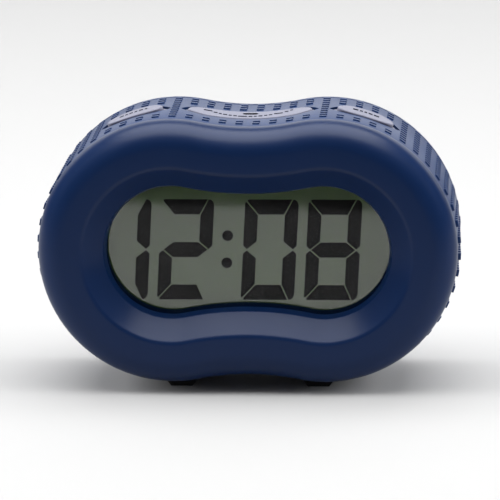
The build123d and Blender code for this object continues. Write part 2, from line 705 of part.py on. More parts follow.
def light_sensor():
    """Photocell on two bent leads, under the window of the snooze key."""
    depth = KEY_DEPTH + SENSOR_BACK
    top = BOARD_RADIUS - WAIST_DIP - CELL_EYE_SINK
    low = top - CELL_EYE_HEIGHT
    eye_plane = Plane(origin=(0, FRONT_Y + depth, CENTRE_Z + low))
    eye = extrude(eye_plane * Circle(CELL_EYE_DIAMETER / 2), amount=CELL_EYE_HEIGHT)
    leads = []
    for side in (-1, 1):
        plane = Plane(origin=(side * LEAD_SPACING / 2, FRONT_Y, CENTRE_Z), x_dir=(0, 1, 0), z_dir=(1, 0, 0))
        path = plane * Polyline(
            (depth, low + CELL_EYE_HEIGHT / 2),
            (depth, low - LEAD_DROP),
            (BOARD_BACK, low - LEAD_DROP),
        )
        section = Plane(origin=path @ 0, z_dir=path % 0) * Circle(LEAD_DIAMETER / 2)
        leads.append(sweep(section, path, transition=Transition.RIGHT))
    return eye + leads


# Rear cover, buzzer and slide switches


def slide_travel(name):
    """Ends of a slide switch's travel, from its middle."""
    if name == "alarm":
        return -ALARM_TRAVEL / 2, ALARM_TRAVEL / 2
    return -MODE_TRAVEL, MODE_TRAVEL


def slide_place(name):
    """Middle of a slide switch; the alarm switch is on the right seen from behind."""
    return (-SLIDE_X if name == "alarm" else SLIDE_X, SOUND_Z)


def slide_rest(name):
    """Where the knob rests: off for the alarm, the middle for the mode."""
    x, z = slide_place(name)
    return (x + slide_travel(name)[0], z) if name == "alarm" else (x, z)


def slide_slot(name, length, width, near, far):
    """A slot as long as a sliding piece needs over its whole travel."""
    low, high = slide_travel(name)
    return block(slide_place(name), length + high - low + 2 * SLIP_GAP, width + 2 * SLIP_GAP, near, far)


def rear_cover():
    """Rounded back with the battery well, the buzzer ring and the openings for the slide switches."""
    round_centre = (REAR_RADIUS - REAR_ROUND, BACK - REAR_ROUND)
    core = round_centre[0] - LIP_WALL
    rim_inside = REAR_RADIUS - REAR_RIM
    rim = make_face([
        Line((REAR_RADIUS, BAND_BACK), (REAR_RADIUS, round_centre[1])),
        CenterArc(round_centre, REAR_ROUND, 0, 90),
        Polyline(
            (round_centre[0], BACK),
            (core, BACK),
            (core, REAR_INSIDE),
            (rim_inside, REAR_INSIDE),
            (rim_inside, BAND_BACK),
            (REAR_RADIUS, BAND_BACK),
        ),
    ])
    plate = slab(peanut(core + LIP_WALL / 2), REAR_INSIDE, BACK)
    lip_radius = CASE_INSIDE - SEAT_GAP
    lip_front = BAND_BACK - LIP_REACH
    lip_face = peanut(lip_radius) - peanut(lip_radius - LIP_WALL)
    lip = slab(lip_face, lip_front, REAR_INSIDE + REAR_WALL / 2)
    lip -= [rod(place, CASE_BOSS + 2 * SLIP_GAP, lip_front, BAND_BACK) for place in CASE_SCREWS]
    bosses = [rod(place, REAR_BOSS, BAND_BACK, REAR_INSIDE) for place in CASE_SCREWS]
    bosses += [rod(place, BOARD_BOSS, SLIDE_BOARD_BACK, REAR_INSIDE) for place in SLIDE_SCREWS]
    buzzer_bore = BUZZER_DIAMETER + 2 * SEAT_GAP
    buzzer_ring = rod((0, SOUND_Z), buzzer_bore + 2 * BUZZER_WALL, REAR_INSIDE - BUZZER_HEIGHT, REAR_INSIDE)
    well_size = (WELL_WIDTH + 2 * WELL_WALL, WELL_HEIGHT + 2 * WELL_WALL)
    well = block((0, WELL_Z), *well_size, WELL_FLOOR - WELL_WALL, REAR_INSIDE)
    cuts = [rod((0, SOUND_Z), buzzer_bore, REAR_INSIDE - BUZZER_HEIGHT, REAR_INSIDE)]
    cuts += [block((0, WELL_Z), WELL_WIDTH, WELL_HEIGHT, WELL_FLOOR, BACK)]
    cuts += [door_face_slab(SLIP_GAP)]
    cuts += lug_slots()
    cuts += [rod((0, WELL_Z + DOOR_HEIGHT / 2), 2 * NOTCH_RADIUS, BACK - NOTCH_DEPTH, BACK)]
    cuts += sound_holes()
    for place in CASE_SCREWS:
        head_seat = BACK - HEAD_SINK - CASE_HEAD_HEIGHT
        cuts.append(rod(place, CASE_SHANK + 2 * SLIP_GAP, BAND_BACK, BACK))
        cuts.append(rod(place, CASE_HEAD + 2 * SLIP_GAP, head_seat, BACK))
    for place in SLIDE_SCREWS:
        cuts.append(rod(place, SMALL_SHANK + 2 * SEAT_GAP, SLIDE_BOARD_BACK, REAR_INSIDE))
    for name in ("alarm", "mode"):
        cuts.append(slide_slot(name, KNOB_STEM_LENGTH, KNOB_STEM_WIDTH, REAR_INSIDE, BACK))
        cuts.append(slide_slot(name, KNOB_LENGTH, KNOB_WIDTH, POCKET_FLOOR, BACK))
    return (ring(rim) + [plate, lip, buzzer_ring, well] + bosses) - cuts


def sound_holes():
    places = [(0, SOUND_Z)]
    for step in range(SOUND_COUNT):
        turn = radians(360 * step / SOUND_COUNT)
        places.append((SOUND_RING * cos(turn), SOUND_Z + SOUND_RING * sin(turn)))
    return [rod(place, SOUND_HOLE, REAR_INSIDE, BACK) for place in places]


def buzzer():
    """Flat sounder in the ring of the rear cover, its mouth towards the sound holes."""
    body = rod((0, SOUND_Z), BUZZER_DIAMETER, REAR_INSIDE - BUZZER_HEIGHT, REAR_INSIDE)
    return body - rod((0, SOUND_Z), BUZZER_MOUTH, REAR_INSIDE - BUZZER_MOUTH_DEPTH, REAR_INSIDE)


def switch_board():
    """Small board that carries both slide switches inside the rear cover."""
    face = RectangleRounded(2 * (SLIDE_X + SLIDE_BOARD_EDGE), SLIDE_BOARD_HEIGHT, HOLDER_WALL)
    board = slab(Pos(0, SOUND_Z) * face, SLIDE_BOARD_FRONT, SLIDE_BOARD_BACK)
    hole = SMALL_SHANK + 2 * SEAT_GAP
    return board - [rod(place, hole, SLIDE_BOARD_FRONT, SLIDE_BOARD_BACK) for place in SLIDE_SCREWS]


def slide_switch(name):
    """Switch body with a slot for its lever."""
    place = slide_place(name)
    body = block(place, SLIDE_BODY_LENGTH, SLIDE_BODY_WIDTH, SLIDE_BOARD_BACK, SLIDE_BODY_OUT)
    slot_floor = SLIDE_BOARD_BACK + SLIDE_BODY_FLOOR
    return body - slide_slot(name, LEVER_SIZE, LEVER_SIZE, slot_floor, SLIDE_BODY_OUT)


def slide_lever(name):
    near = SLIDE_BOARD_BACK + SLIDE_BODY_FLOOR + SLIP_GAP
    return block(slide_rest(name), LEVER_SIZE, LEVER_SIZE, near, LEVER_END)


def slide_knob(name):
    """Grooved cap in its pocket, with a stem that takes the lever."""
    place = slide_rest(name)
    near = POCKET_FLOOR + SEAT_GAP
    far = near + KNOB_HEIGHT
    cap = slab(Pos(*place) * RectangleRounded(KNOB_LENGTH, KNOB_WIDTH, KNOB_GROOVE), near, far)
    for step in (-1, 0, 1):
        groove = (place[0] + step * KNOB_GROOVE_PITCH, place[1])
        cap -= block(groove, KNOB_GROOVE, KNOB_WIDTH, far - KNOB_GROOVE, far)
    stem_start = SLIDE_BODY_OUT + SLIP_GAP
    stem = block(place, KNOB_STEM_LENGTH, KNOB_STEM_WIDTH, stem_start, near)
    socket = LEVER_SIZE + 2 * SEAT_GAP
    return (cap + stem) - block(place, socket, socket, stem_start, LEVER_END + SEAT_GAP)


def ribbon_cable():
    """Flat cable from the main board to the switch board."""
    start_z = CENTRE_Z + RIBBON_START_Z
    end_z = CENTRE_Z + RIBBON_END_Z
    run = SLIDE_BOARD_FRONT - BOARD_BACK
    path = FilletPolyline(
        (FRONT_Y + BOARD_BACK, start_z),
        (FRONT_Y + BOARD_BACK + run / 3, start_z),
        (FRONT_Y + SLIDE_BOARD_FRONT - run / 3, end_z),
        (FRONT_Y + SLIDE_BOARD_FRONT, end_z),
        radius=RIBBON_BEND,
    )
    strip = trace(path, RIBBON_THICKNESS)
    plane = Plane(origin=(-RIBBON_WIDTH / 2, 0, 0), x_dir=(0, 1, 0), z_dir=(1, 0, 0))
    return extrude(plane * strip, amount=RIBBON_WIDTH)


# Batteries and their door


def door_face_slab(gap):
    face = RectangleRounded(DOOR_WIDTH + 2 * gap, DOOR_HEIGHT + 2 * gap, DOOR_CORNER + gap)
    return slab(Pos(0, WELL_Z) * face, DOOR_SEAT, BACK)


def lug_slots():
    """Openings in the lower wall of the well that the door's lugs swing through."""
    top = DOOR_BOTTOM + DOOR_LEDGE + SEAT_GAP
    bottom = DOOR_BOTTOM - SLIP_GAP
    width = LUG_WIDTH + 2 * SLIP_GAP
    middle = (top + bottom) / 2
    places = [(side * LUG_X, middle) for side in (-1, 1)]
    return [block(place, width, top - bottom, LUG_IN - LUG_SWING, DOOR_SEAT) for place in places]


def battery_door():
    """Flat door with two hooked lugs below and a springy tongue above."""
    door = door_face_slab(0)
    foot_z = DOOR_BOTTOM + SLIP_GAP
    top = WELL_Z + DOOR_HEIGHT / 2
    for side in (-1, 1):
        arm_place = (side * LUG_X, foot_z + LUG_THICKNESS / 2)
        door += block(arm_place, LUG_WIDTH, LUG_THICKNESS, LUG_IN, DOOR_SEAT + DOOR_THICKNESS / 2)
        hook_top = foot_z + LUG_THICKNESS
        hook_bottom = DOOR_BOTTOM - LUG_REACH
        hook_place = (side * LUG_X, (hook_top + hook_bottom) / 2)
        door += block(hook_place, LUG_WIDTH, hook_top - hook_bottom, LUG_IN, LUG_OUT)
        slit = (side * TONGUE_WIDTH / 2, top - TONGUE_LENGTH / 2)
        door -= block(slit, TONGUE_SLIT, TONGUE_LENGTH, DOOR_SEAT, BACK)
    for step in (1, 2, 3):
        groove = (0, top - step * TONGUE_LENGTH / 4)
        door -= block(groove, TONGUE_WIDTH / 2, GRIP_GROOVE, BACK - GRIP_GROOVE, BACK)
    return door


def cell_height(nub_side):
    """The upper cell has its nub to the right seen from the front, the lower one to the left."""
    return WELL_Z + nub_side * CELL_PITCH / 2


def battery_cell(nub_side):
    """Small round cell that lies across the clock."""
    start_x = -nub_side * (WELL_WIDTH / 2 - SPRING_ROOM)
    origin = (start_x, FRONT_Y + CELL_DEPTH, CENTRE_Z + cell_height(nub_side))
    plane = Plane(origin=origin, z_dir=(nub_side, 0, 0))
    body_length = CELL_LENGTH - NUB_LENGTH
    body = extrude(plane * Circle(CELL_DIAMETER / 2), amount=body_length)
    body = chamfer(body.edges().filter_by(GeomType.CIRCLE), CELL_CHAMFER)
    return body + extrude(plane.offset(body_length) * Circle(NUB_DIAMETER / 2), amount=NUB_LENGTH)


def contact_plane(nub_side, wall_side):
    """Plane on an end wall of the well, x into the well, y to the back and centred on a cell."""
    origin = (wall_side * WELL_WIDTH / 2, FRONT_Y + CELL_DEPTH, CENTRE_Z + cell_height(nub_side))
    return Plane(origin=origin, x_dir=(-wall_side, 0, 0), z_dir=(0, 0, -wall_side))


def spring_contact(nub_side):
    """Folded leaf that presses on the flat end of a cell."""
    half = CELL_DIAMETER / 2 - 2 * SPRING_BEND
    touch = SPRING_ROOM - SEAT_GAP - CONTACT / 2
    path = FilletPolyline(
        (CONTACT / 2, -half),
        (CONTACT / 2, half),
        (touch / 2, half),
        (touch, 0),
        (touch / 2, -half / 2),
        radius=SPRING_BEND,
    )
    plane = contact_plane(nub_side, -nub_side).offset(-CONTACT_WIDTH / 2)
    return extrude(plane * trace(path, CONTACT), amount=CONTACT_WIDTH)


def plate_contact(nub_side):
    """Flat plate that a cell's nub rests on."""
    plane = contact_plane(nub_side, nub_side).offset(-CONTACT_WIDTH / 2)
    face = Pos(CONTACT / 2, 0) * Rectangle(CONTACT, CONTACT_WIDTH)
    return extrude(plane * face, amount=CONTACT_WIDTH)


# Screws


def screws(places, shank, shank_length, head, head_height, seat, backward):
    """Round-headed screws; the head stands behind its seat, or in front of it."""
    made = []
    for place in places:
        if backward:
            body = rod(place, shank, seat - shank_length, seat) + rod(place, head, seat, seat + head_height)
        else:
            body = rod(place, shank, seat, seat + shank_length) + rod(place, head, seat - head_height, seat)
        made.append(body)
    return made


def case_screws():
    seat = BACK - HEAD_SINK - CASE_HEAD_HEIGHT
    return screws(CASE_SCREWS, CASE_SHANK, CASE_SHANK_LENGTH, CASE_HEAD, CASE_HEAD_HEIGHT, seat, True)


def board_screws():
    head = (SMALL_HEAD, SMALL_HEAD_HEIGHT)
    return screws(BOARD_SCREWS, SMALL_SHANK, SMALL_SHANK_LENGTH, *head, BOARD_BACK, True)


def switch_board_screws():
    head = (SMALL_HEAD, SMALL_HEAD_HEIGHT)
    length = SLIDE_BOARD_THICKNESS + REAR_INSIDE - SLIDE_BOARD_BACK - SLIP_GAP
    return screws(SLIDE_SCREWS, SMALL_SHANK, length, *head, SLIDE_BOARD_FRONT, False)


PIECES = {
    "front_bezel": front_bezel(),
    "tread_band": tread_band(),
    "mid_case": mid_case(),
    "rear_cover": rear_cover(),
    "left_foot": foot(-1),
    "right_foot": foot(1),
    "lcd_window": lcd_window(),
    "lcd_panel": lcd_panel(),
    "lcd_holder": lcd_holder(),
    "light_guide": light_guide(),
    "contact_strip": contact_strip(),
    "backlight_leds": backlight_leds(),
    "main_board": main_board(),
    "controller_chip": controller_chip(),
    "clock_crystal": clock_crystal(),
    "light_sensor": light_sensor(),
    "snooze_key": snooze_key(),
    "sensor_window": sensor_seat(0),
    "left_key": key_cap("left"),
    "right_key": key_cap("right"),
    "buzzer": buzzer(),
    "switch_board": switch_board(),
    "ribbon_cable": ribbon_cable(),
    "battery_door": battery_door(),
    "upper_cell": battery_cell(1),
    "lower_cell": battery_cell(-1),
    "spring_contacts": [spring_contact(side) for side in (-1, 1)],
    "plate_contacts": [plate_contact(side) for side in (-1, 1)],
    "case_screws": case_screws(),
    "board_screws": board_screws(),
    "switch_board_screws": switch_board_screws(),
}
for key_name in KEYS:
    PIECES[f"{key_name}_switch"] = push_switch(key_name)
    PIECES[f"{key_name}_plunger"] = push_plunger(key_name)
for slide_name in ("alarm", "mode"):
    PIECES[f"{slide_name}_switch"] = slide_switch(slide_name)
    PIECES[f"{slide_name}_lever"] = slide_lever(slide_name)
    PIECES[f"{slide_name}_knob"] = slide_knob(slide_name)

os.makedirs("parts", exist_ok=True)
for piece_name, shape in PIECES.items():
    solids = [solid for item in (shape if isinstance(shape, list) else [shape]) for solid in item.solids()]
    export_step(solids[0] if len(solids) == 1 else Compound(solids), f"parts/{piece_name}.step")

side_plane = outline_plane(SIDE_TRAVEL, KEY_DEPTH)
print("right key at", tuple(side_plane.origin), "travels against", tuple(side_plane.z_dir))
print("battery door turns at", (0, FRONT_Y + BACK, CENTRE_Z + DOOR_BOTTOM))
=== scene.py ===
import json
from math import acos, asin, atan2, cos, hypot, pi, radians, sin, sqrt

import bmesh
import bpy
from mathutils import Matrix, Vector


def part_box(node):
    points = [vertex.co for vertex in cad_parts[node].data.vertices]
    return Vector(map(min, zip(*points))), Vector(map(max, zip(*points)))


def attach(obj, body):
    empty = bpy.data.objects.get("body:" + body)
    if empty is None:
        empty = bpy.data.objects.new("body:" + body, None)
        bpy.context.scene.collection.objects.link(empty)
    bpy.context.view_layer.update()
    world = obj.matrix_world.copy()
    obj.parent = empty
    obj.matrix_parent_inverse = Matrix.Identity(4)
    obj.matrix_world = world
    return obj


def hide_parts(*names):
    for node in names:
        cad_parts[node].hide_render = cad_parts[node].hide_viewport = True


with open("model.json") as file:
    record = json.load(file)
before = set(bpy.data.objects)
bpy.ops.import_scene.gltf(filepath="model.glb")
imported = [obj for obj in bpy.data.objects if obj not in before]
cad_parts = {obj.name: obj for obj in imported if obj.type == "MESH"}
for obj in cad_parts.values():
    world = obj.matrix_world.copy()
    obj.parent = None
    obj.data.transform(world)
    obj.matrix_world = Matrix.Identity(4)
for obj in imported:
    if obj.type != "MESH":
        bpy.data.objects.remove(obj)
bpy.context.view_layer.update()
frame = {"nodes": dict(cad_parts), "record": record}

mm = 0.001
weld = 0.002 * mm  # points closer than this become one
nodes = frame["nodes"]

# The case outline, read from the bezel: two lobes joined by hollow waists
bezelLow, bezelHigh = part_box("front_bezel")
tubeLow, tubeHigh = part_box("mid_case")
waistDip = 2.3 * mm
lobeRadius = (bezelHigh.z - bezelLow.z) / 2
lobeX = bezelHigh.x - lobeRadius
middleZ = (bezelHigh.z + bezelLow.z) / 2
frontY = bezelLow.y
waistReach = (waistDip**2 + lobeX**2) / (2 * waistDip)
waistZ = waistReach - waistDip
waistTurn = asin(lobeX / waistReach)
lobeTurn = pi / 2 + waistTurn
ringSteps = {"lobe": 96, "waist": 20}


def onOutline(travel, radius, y):  # frame on the case: x along it, y to the back, z outward
    side = -1 if travel < 0 else 1
    along = abs(travel)
    bend = waistReach - radius
    halfWaist = waistTurn * bend
    lobe = 2 * lobeTurn * radius
    if along < halfWaist:
        tilt = -along / bend
        x, z = -bend * sin(tilt), waistZ - bend * cos(tilt)
    elif along < halfWaist + lobe:
        tilt = (along - halfWaist) / radius - waistTurn
        x, z = lobeX + radius * sin(tilt), radius * cos(tilt)
    else:
        turn = waistTurn - (along - halfWaist - lobe) / bend
        tilt = pi + turn
        x, z = bend * sin(turn), bend * cos(turn) - waistZ
    return Matrix.Translation((side * x, y, middleZ + z)) @ Matrix.Rotation(side * tilt, 4, "Y")


def sectionPoint(radius, depth):  # the section is drawn over the middle of the upper waist
    return Vector((0, frontY + depth * mm, middleZ - waistDip + radius * mm))


def drawTo(bm, start, radius, depth):  # straight run of a section
    vert = bm.verts.new(sectionPoint(radius, depth))
    if start is not None:
        bm.edges.new((start, vert))
    return vert


def drawLoop(bm, points):  # closed section with straight sides
    corners = [drawTo(bm, None, radius, depth) for radius, depth in points]
    for a, b in zip(corners, corners[1:] + corners[:1]):
        bm.edges.new((a, b))
    return corners


def vertsOf(geom):
    return [item for item in geom if isinstance(item, bmesh.types.BMVert)]


def lastVert(made):
    return vertsOf(made["geom_last"])[0]


def turnTo(bm, start, centre, angle, steps):  # arc of a section about a centre
    return lastVert(bmesh.ops.spin(bm, geom=[start], cent=sectionPoint(*centre), axis=(1, 0, 0), dvec=(0, 0, 0),
                                   angle=angle, steps=steps, use_duplicate=False))


def sweepTo(bm, start, here, heading, there, steps):  # arc that leaves along a heading
    dr, dd = there[0] - here[0], there[1] - here[1]
    swing = atan2(dd, dr) - heading
    reach = hypot(dr, dd) / (2 * sin(swing))
    centre = (here[0] - reach * sin(heading), here[1] + reach * cos(heading))
    return turnTo(bm, start, centre, -2 * swing, steps), heading + 2 * swing


def carryRound(bm):  # the drawn section goes once round the outline
    turns = [(0, waistZ, -waistTurn, ringSteps["waist"] // 2), (lobeX, 0, 2 * lobeTurn, ringSteps["lobe"]),
             (0, -waistZ, -2 * waistTurn, ringSteps["waist"]), (-lobeX, 0, 2 * lobeTurn, ringSteps["lobe"]),
             (0, waistZ, -waistTurn, ringSteps["waist"] // 2)]
    geom = bm.verts[:] + bm.edges[:]
    for x, z, angle, steps in turns:
        made = bmesh.ops.spin(bm, geom=geom, cent=(x, 0, middleZ + z), axis=(0, 1, 0), dvec=(0, 0, 0),
                              angle=angle, steps=steps, use_duplicate=False)
        geom = made["geom_last"]
    bmesh.ops.remove_doubles(bm, verts=bm.verts[:], dist=weld)
    bmesh.ops.recalc_face_normals(bm, faces=bm.faces[:])


def soften(bm, geom, offset, segments, affect="VERTICES"):
    return bmesh.ops.bevel(bm, geom=geom, offset=offset, offset_type="OFFSET", segments=segments, profile=0.5,
                           affect=affect, material=-1)


def raiseFaces(bm, faces, by):  # extrudes faces and gives back their new points
    raised = vertsOf(bmesh.ops.extrude_face_region(bm, geom=faces)["geom"])
    bmesh.ops.translate(bm, verts=raised, vec=by)
    return raised


def pourInto(bm, one):  # a small finished mesh joins a larger one
    mesh = bpy.data.meshes.new("pour")
    one.to_mesh(mesh)
    one.free()
    bm.from_mesh(mesh)
    bpy.data.meshes.remove(mesh)


def stamp(bm, mesh, matrix):  # adds a copy of a mesh where the matrix puts it
    have = len(bm.verts)
    bm.from_mesh(mesh)
    bm.verts.ensure_lookup_table()
    bmesh.ops.transform(bm, verts=bm.verts[have:], matrix=matrix)


def place(bm, name, material, smooth=40):  # a bmesh becomes an object at the origin
    mesh = bpy.data.meshes.new(name)
    bm.to_mesh(mesh)
    bm.free()
    mesh.shade_smooth()
    mesh.set_sharp_from_angle(angle=radians(smooth))
    piece = bpy.data.objects.new(name, mesh)
    bpy.context.scene.collection.objects.link(piece)
    if material:
        mesh.materials.append(material)
    return piece


def fit(piece, body, slot, *replaced):  # a finished piece joins its body
    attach(piece, body)
    if replaced:
        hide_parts(*replaced)
    print("made", piece.name, len(piece.data.polygons), "faces")


def cutWith(piece, cutter):  # takes the cutter's shape out of the piece
    cut = piece.modifiers.new("cut", "BOOLEAN")
    cut.operation, cut.solver, cut.object = "DIFFERENCE", "EXACT", cutter
    result = bpy.data.meshes.new_from_object(piece.evaluated_get(bpy.context.evaluated_depsgraph_get()))
    piece.modifiers.remove(cut)
    bm = bmesh.new()
    bm.from_mesh(result)
    bpy.data.meshes.remove(result)
    for done in (piece, cutter):
        bpy.data.objects.remove(done)
    return bm


# Shared surface effects


def newGroup(name, inputs, outputs):  # an empty node group with its sockets
    group = bpy.data.node_groups.new(name, "ShaderNodeTree")
    for label, kind, value in inputs:
        socket = group.interface.new_socket(label, in_out="INPUT", socket_type=kind)
        socket.default_value = value
    for label, kind in outputs:
        group.interface.new_socket(label, in_out="OUTPUT", socket_type=kind)
    return group, group.nodes.new("NodeGroupInput"), group.nodes.new("NodeGroupOutput")


def add(tree, kind, **values):
    node = tree.nodes.new(kind)
    for key, value in values.items():
        setattr(node, key, value)
    return node


def sums(tree, operation, *parts):  # a Math node fed by sockets or numbers
    node = add(tree, "ShaderNodeMath", operation=operation)
    for socket, part in zip(node.inputs, parts):
        if isinstance(part, (int, float)):
            socket.default_value = part
        else:
            tree.links.new(part, socket)
    return node.outputs[0]


def noise(tree, coord, scale, detail):
    node = add(tree, "ShaderNodeTexNoise")
    tree.links.new(coord, node.inputs["Vector"])
    if isinstance(scale, (int, float)):
        node.inputs["Scale"].default_value = scale
    else:
        tree.links.new(scale, node.inputs["Scale"])
    node.inputs["Detail"].default_value = detail
    return node.outputs["Fac"]


skin = {"fineDetail": 1.0, "cloudScale": 38.0, "cloudDetail": 3.0}
brush = {"stretch": (0.06, 1, 1), "detail": 2.0, "shadeSpan": 0.3, "shadeFrom": 0.85, "glossSpan": 0.2}


def makeMouldGrain():  # fine moulded skin with faint clouds of colour and gloss
    group, given, out = newGroup(
        "mouldGrain",
        [("Colour", "NodeSocketColor", (0.5, 0.5, 0.5, 1)), ("Grain", "NodeSocketFloat", 2500.0),
         ("Clouds", "NodeSocketFloat", 0.1), ("Gloss", "NodeSocketFloat", 0.5), ("Spread", "NodeSocketFloat", 0.1)],
        [("Colour", "NodeSocketColor"), ("Roughness", "NodeSocketFloat"), ("Height", "NodeSocketFloat")])
    coord = add(group, "ShaderNodeTexCoord").outputs["Object"]
    fine = noise(group, coord, given.outputs["Grain"], skin["fineDetail"])
    broad = noise(group, coord, skin["cloudScale"], skin["cloudDetail"])
    lift = sums(group, "MULTIPLY_ADD", sums(group, "SUBTRACT", broad, 0.5), given.outputs["Clouds"], 1.0)
    tint = add(group, "ShaderNodeVectorMath", operation="SCALE")
    group.links.new(given.outputs["Colour"], tint.inputs[0])
    group.links.new(lift, tint.inputs["Scale"])
    smear = sums(group, "ADD", sums(group, "SUBTRACT", broad, 0.5), sums(group, "SUBTRACT", fine, 0.5))
    group.links.new(tint.outputs[0], out.inputs["Colour"])
    group.links.new(sums(group, "MULTIPLY_ADD", smear, given.outputs["Spread"], given.outputs["Gloss"]),
                    out.inputs["Roughness"])
    group.links.new(fine, out.inputs["Height"])
    return group


def makeBrushLines():  # fine drawn lines for plated and rolled metal
    group, given, out = newGroup(
        "brushLines",
        [("Colour", "NodeSocketColor", (0.6, 0.6, 0.6, 1)), ("Gloss", "NodeSocketFloat", 0.3),
         ("Lines", "NodeSocketFloat", 900.0)],
        [("Colour", "NodeSocketColor"), ("Roughness", "NodeSocketFloat"), ("Height", "NodeSocketFloat")])
    coord = add(group, "ShaderNodeTexCoord").outputs["Object"]
    stretch = add(group, "ShaderNodeMapping")
    stretch.inputs["Scale"].default_value = brush["stretch"]
    group.links.new(coord, stretch.inputs["Vector"])
    lines = noise(group, stretch.outputs[0], given.outputs["Lines"], brush["detail"])
    shade = add(group, "ShaderNodeVectorMath", operation="SCALE")
    group.links.new(given.outputs["Colour"], shade.inputs[0])
    group.links.new(sums(group, "MULTIPLY_ADD", lines, brush["shadeSpan"], brush["shadeFrom"]), shade.inputs["Scale"])
    group.links.new(shade.outputs[0], out.inputs["Colour"])
    group.links.new(sums(group, "MULTIPLY_ADD", lines, brush["glossSpan"], given.outputs["Gloss"]),
                    out.inputs["Roughness"])
    group.links.new(lines, out.inputs["Height"])
    return group


mouldGrain = makeMouldGrain()
brushLines = makeBrushLines()


def blank(name):
    material = bpy.data.materials.new(name)
    material.use_nodes = True
    return material, material.node_tree, material.node_tree.nodes["Principled BSDF"]


def setSockets(shader, values):
    for label, value in values.items():
        shader.inputs[label].default_value = value


def wear(tree, shader, group, bumpHeight, values):  # a shared effect drives colour, gloss and bump
    effect = add(tree, "ShaderNodeGroup", node_tree=group)
    setSockets(effect, values)
    tree.links.new(effect.outputs["Colour"], shader.inputs["Base Color"])
    tree.links.new(effect.outputs["Roughness"], shader.inputs["Roughness"])
    bump = add(tree, "ShaderNodeBump")
    bump.inputs["Strength"].default_value = 1.0
    bump.inputs["Distance"].default_value = bumpHeight
    tree.links.new(effect.outputs["Height"], bump.inputs["Height"])
    tree.links.new(bump.outputs[0], shader.inputs["Normal"])


def moulded(name, colour, gloss, grain=2500.0, bumpHeight=0.006 * mm, clouds=0.12, spread=0.12, **sockets):
    material, tree, shader = blank(name)
    setSockets(shader, {key.replace("_", " "): value for key, value in sockets.items()})
    wear(tree, shader, mouldGrain, bumpHeight,
         {"Colour": (*colour, 1), "Grain": grain, "Clouds": clouds, "Gloss": gloss, "Spread": spread})
    return material


def metal(name, colour, gloss, lines=900.0, bumpHeight=0.004 * mm):
    material, tree, shader = blank(name)
    setSockets(shader, {"Metallic": 1.0})
    wear(tree, shader, brushLines, bumpHeight, {"Colour": (*colour, 1), "Gloss": gloss, "Lines": lines})
    return material


def ramped(tree, value, stops, interpolation="LINEAR"):  # a value picks the colour of the shared effect
    ramp = add(tree, "ShaderNodeValToRGB")
    ramp.color_ramp.interpolation = interpolation
    for at, colour in stops[2:]:
        ramp.color_ramp.elements.new(at)
    for element, (at, colour) in zip(ramp.color_ramp.elements, stops):
        element.position, element.color = at, (*colour, 1)
    tree.links.new(value, ramp.inputs[0])
    effect = next(node for node in tree.nodes if node.type == "GROUP")
    tree.links.new(ramp.outputs[0], effect.inputs["Colour"])


def coordinate(tree, kind, axis):  # one part of a texture coordinate
    split = add(tree, "ShaderNodeSeparateXYZ")
    tree.links.new(add(tree, "ShaderNodeTexCoord").outputs[kind], split.inputs[0])
    return split.outputs[axis]


def striped(material, wander, stops, scale, axis):  # stripes of two colours over a moulded finish
    tree = material.node_tree
    wave = add(tree, "ShaderNodeTexWave", wave_type="BANDS", bands_direction=axis)
    setSockets(wave, {"Scale": scale, "Distortion": wander})
    tree.links.new(add(tree, "ShaderNodeTexCoord").outputs["Object"], wave.inputs["Vector"])
    ramped(tree, wave.outputs["Fac"], stops)
    return material


def banded(material, length, stops):  # bands of colour along x over a metal finish
    tree = material.node_tree
    along = sums(tree, "MULTIPLY_ADD", coordinate(tree, "Object", "X"), 1 / length, 0.5)
    ramped(tree, along, stops, "CONSTANT")
    return material


def wallShaded(material, stops):  # silver on the finger face, with painted shade darker down the walls before and behind
    tree = material.node_tree
    ramped(tree, sums(tree, "ABSOLUTE", coordinate(tree, "Normal", "Y")), stops)
    return material


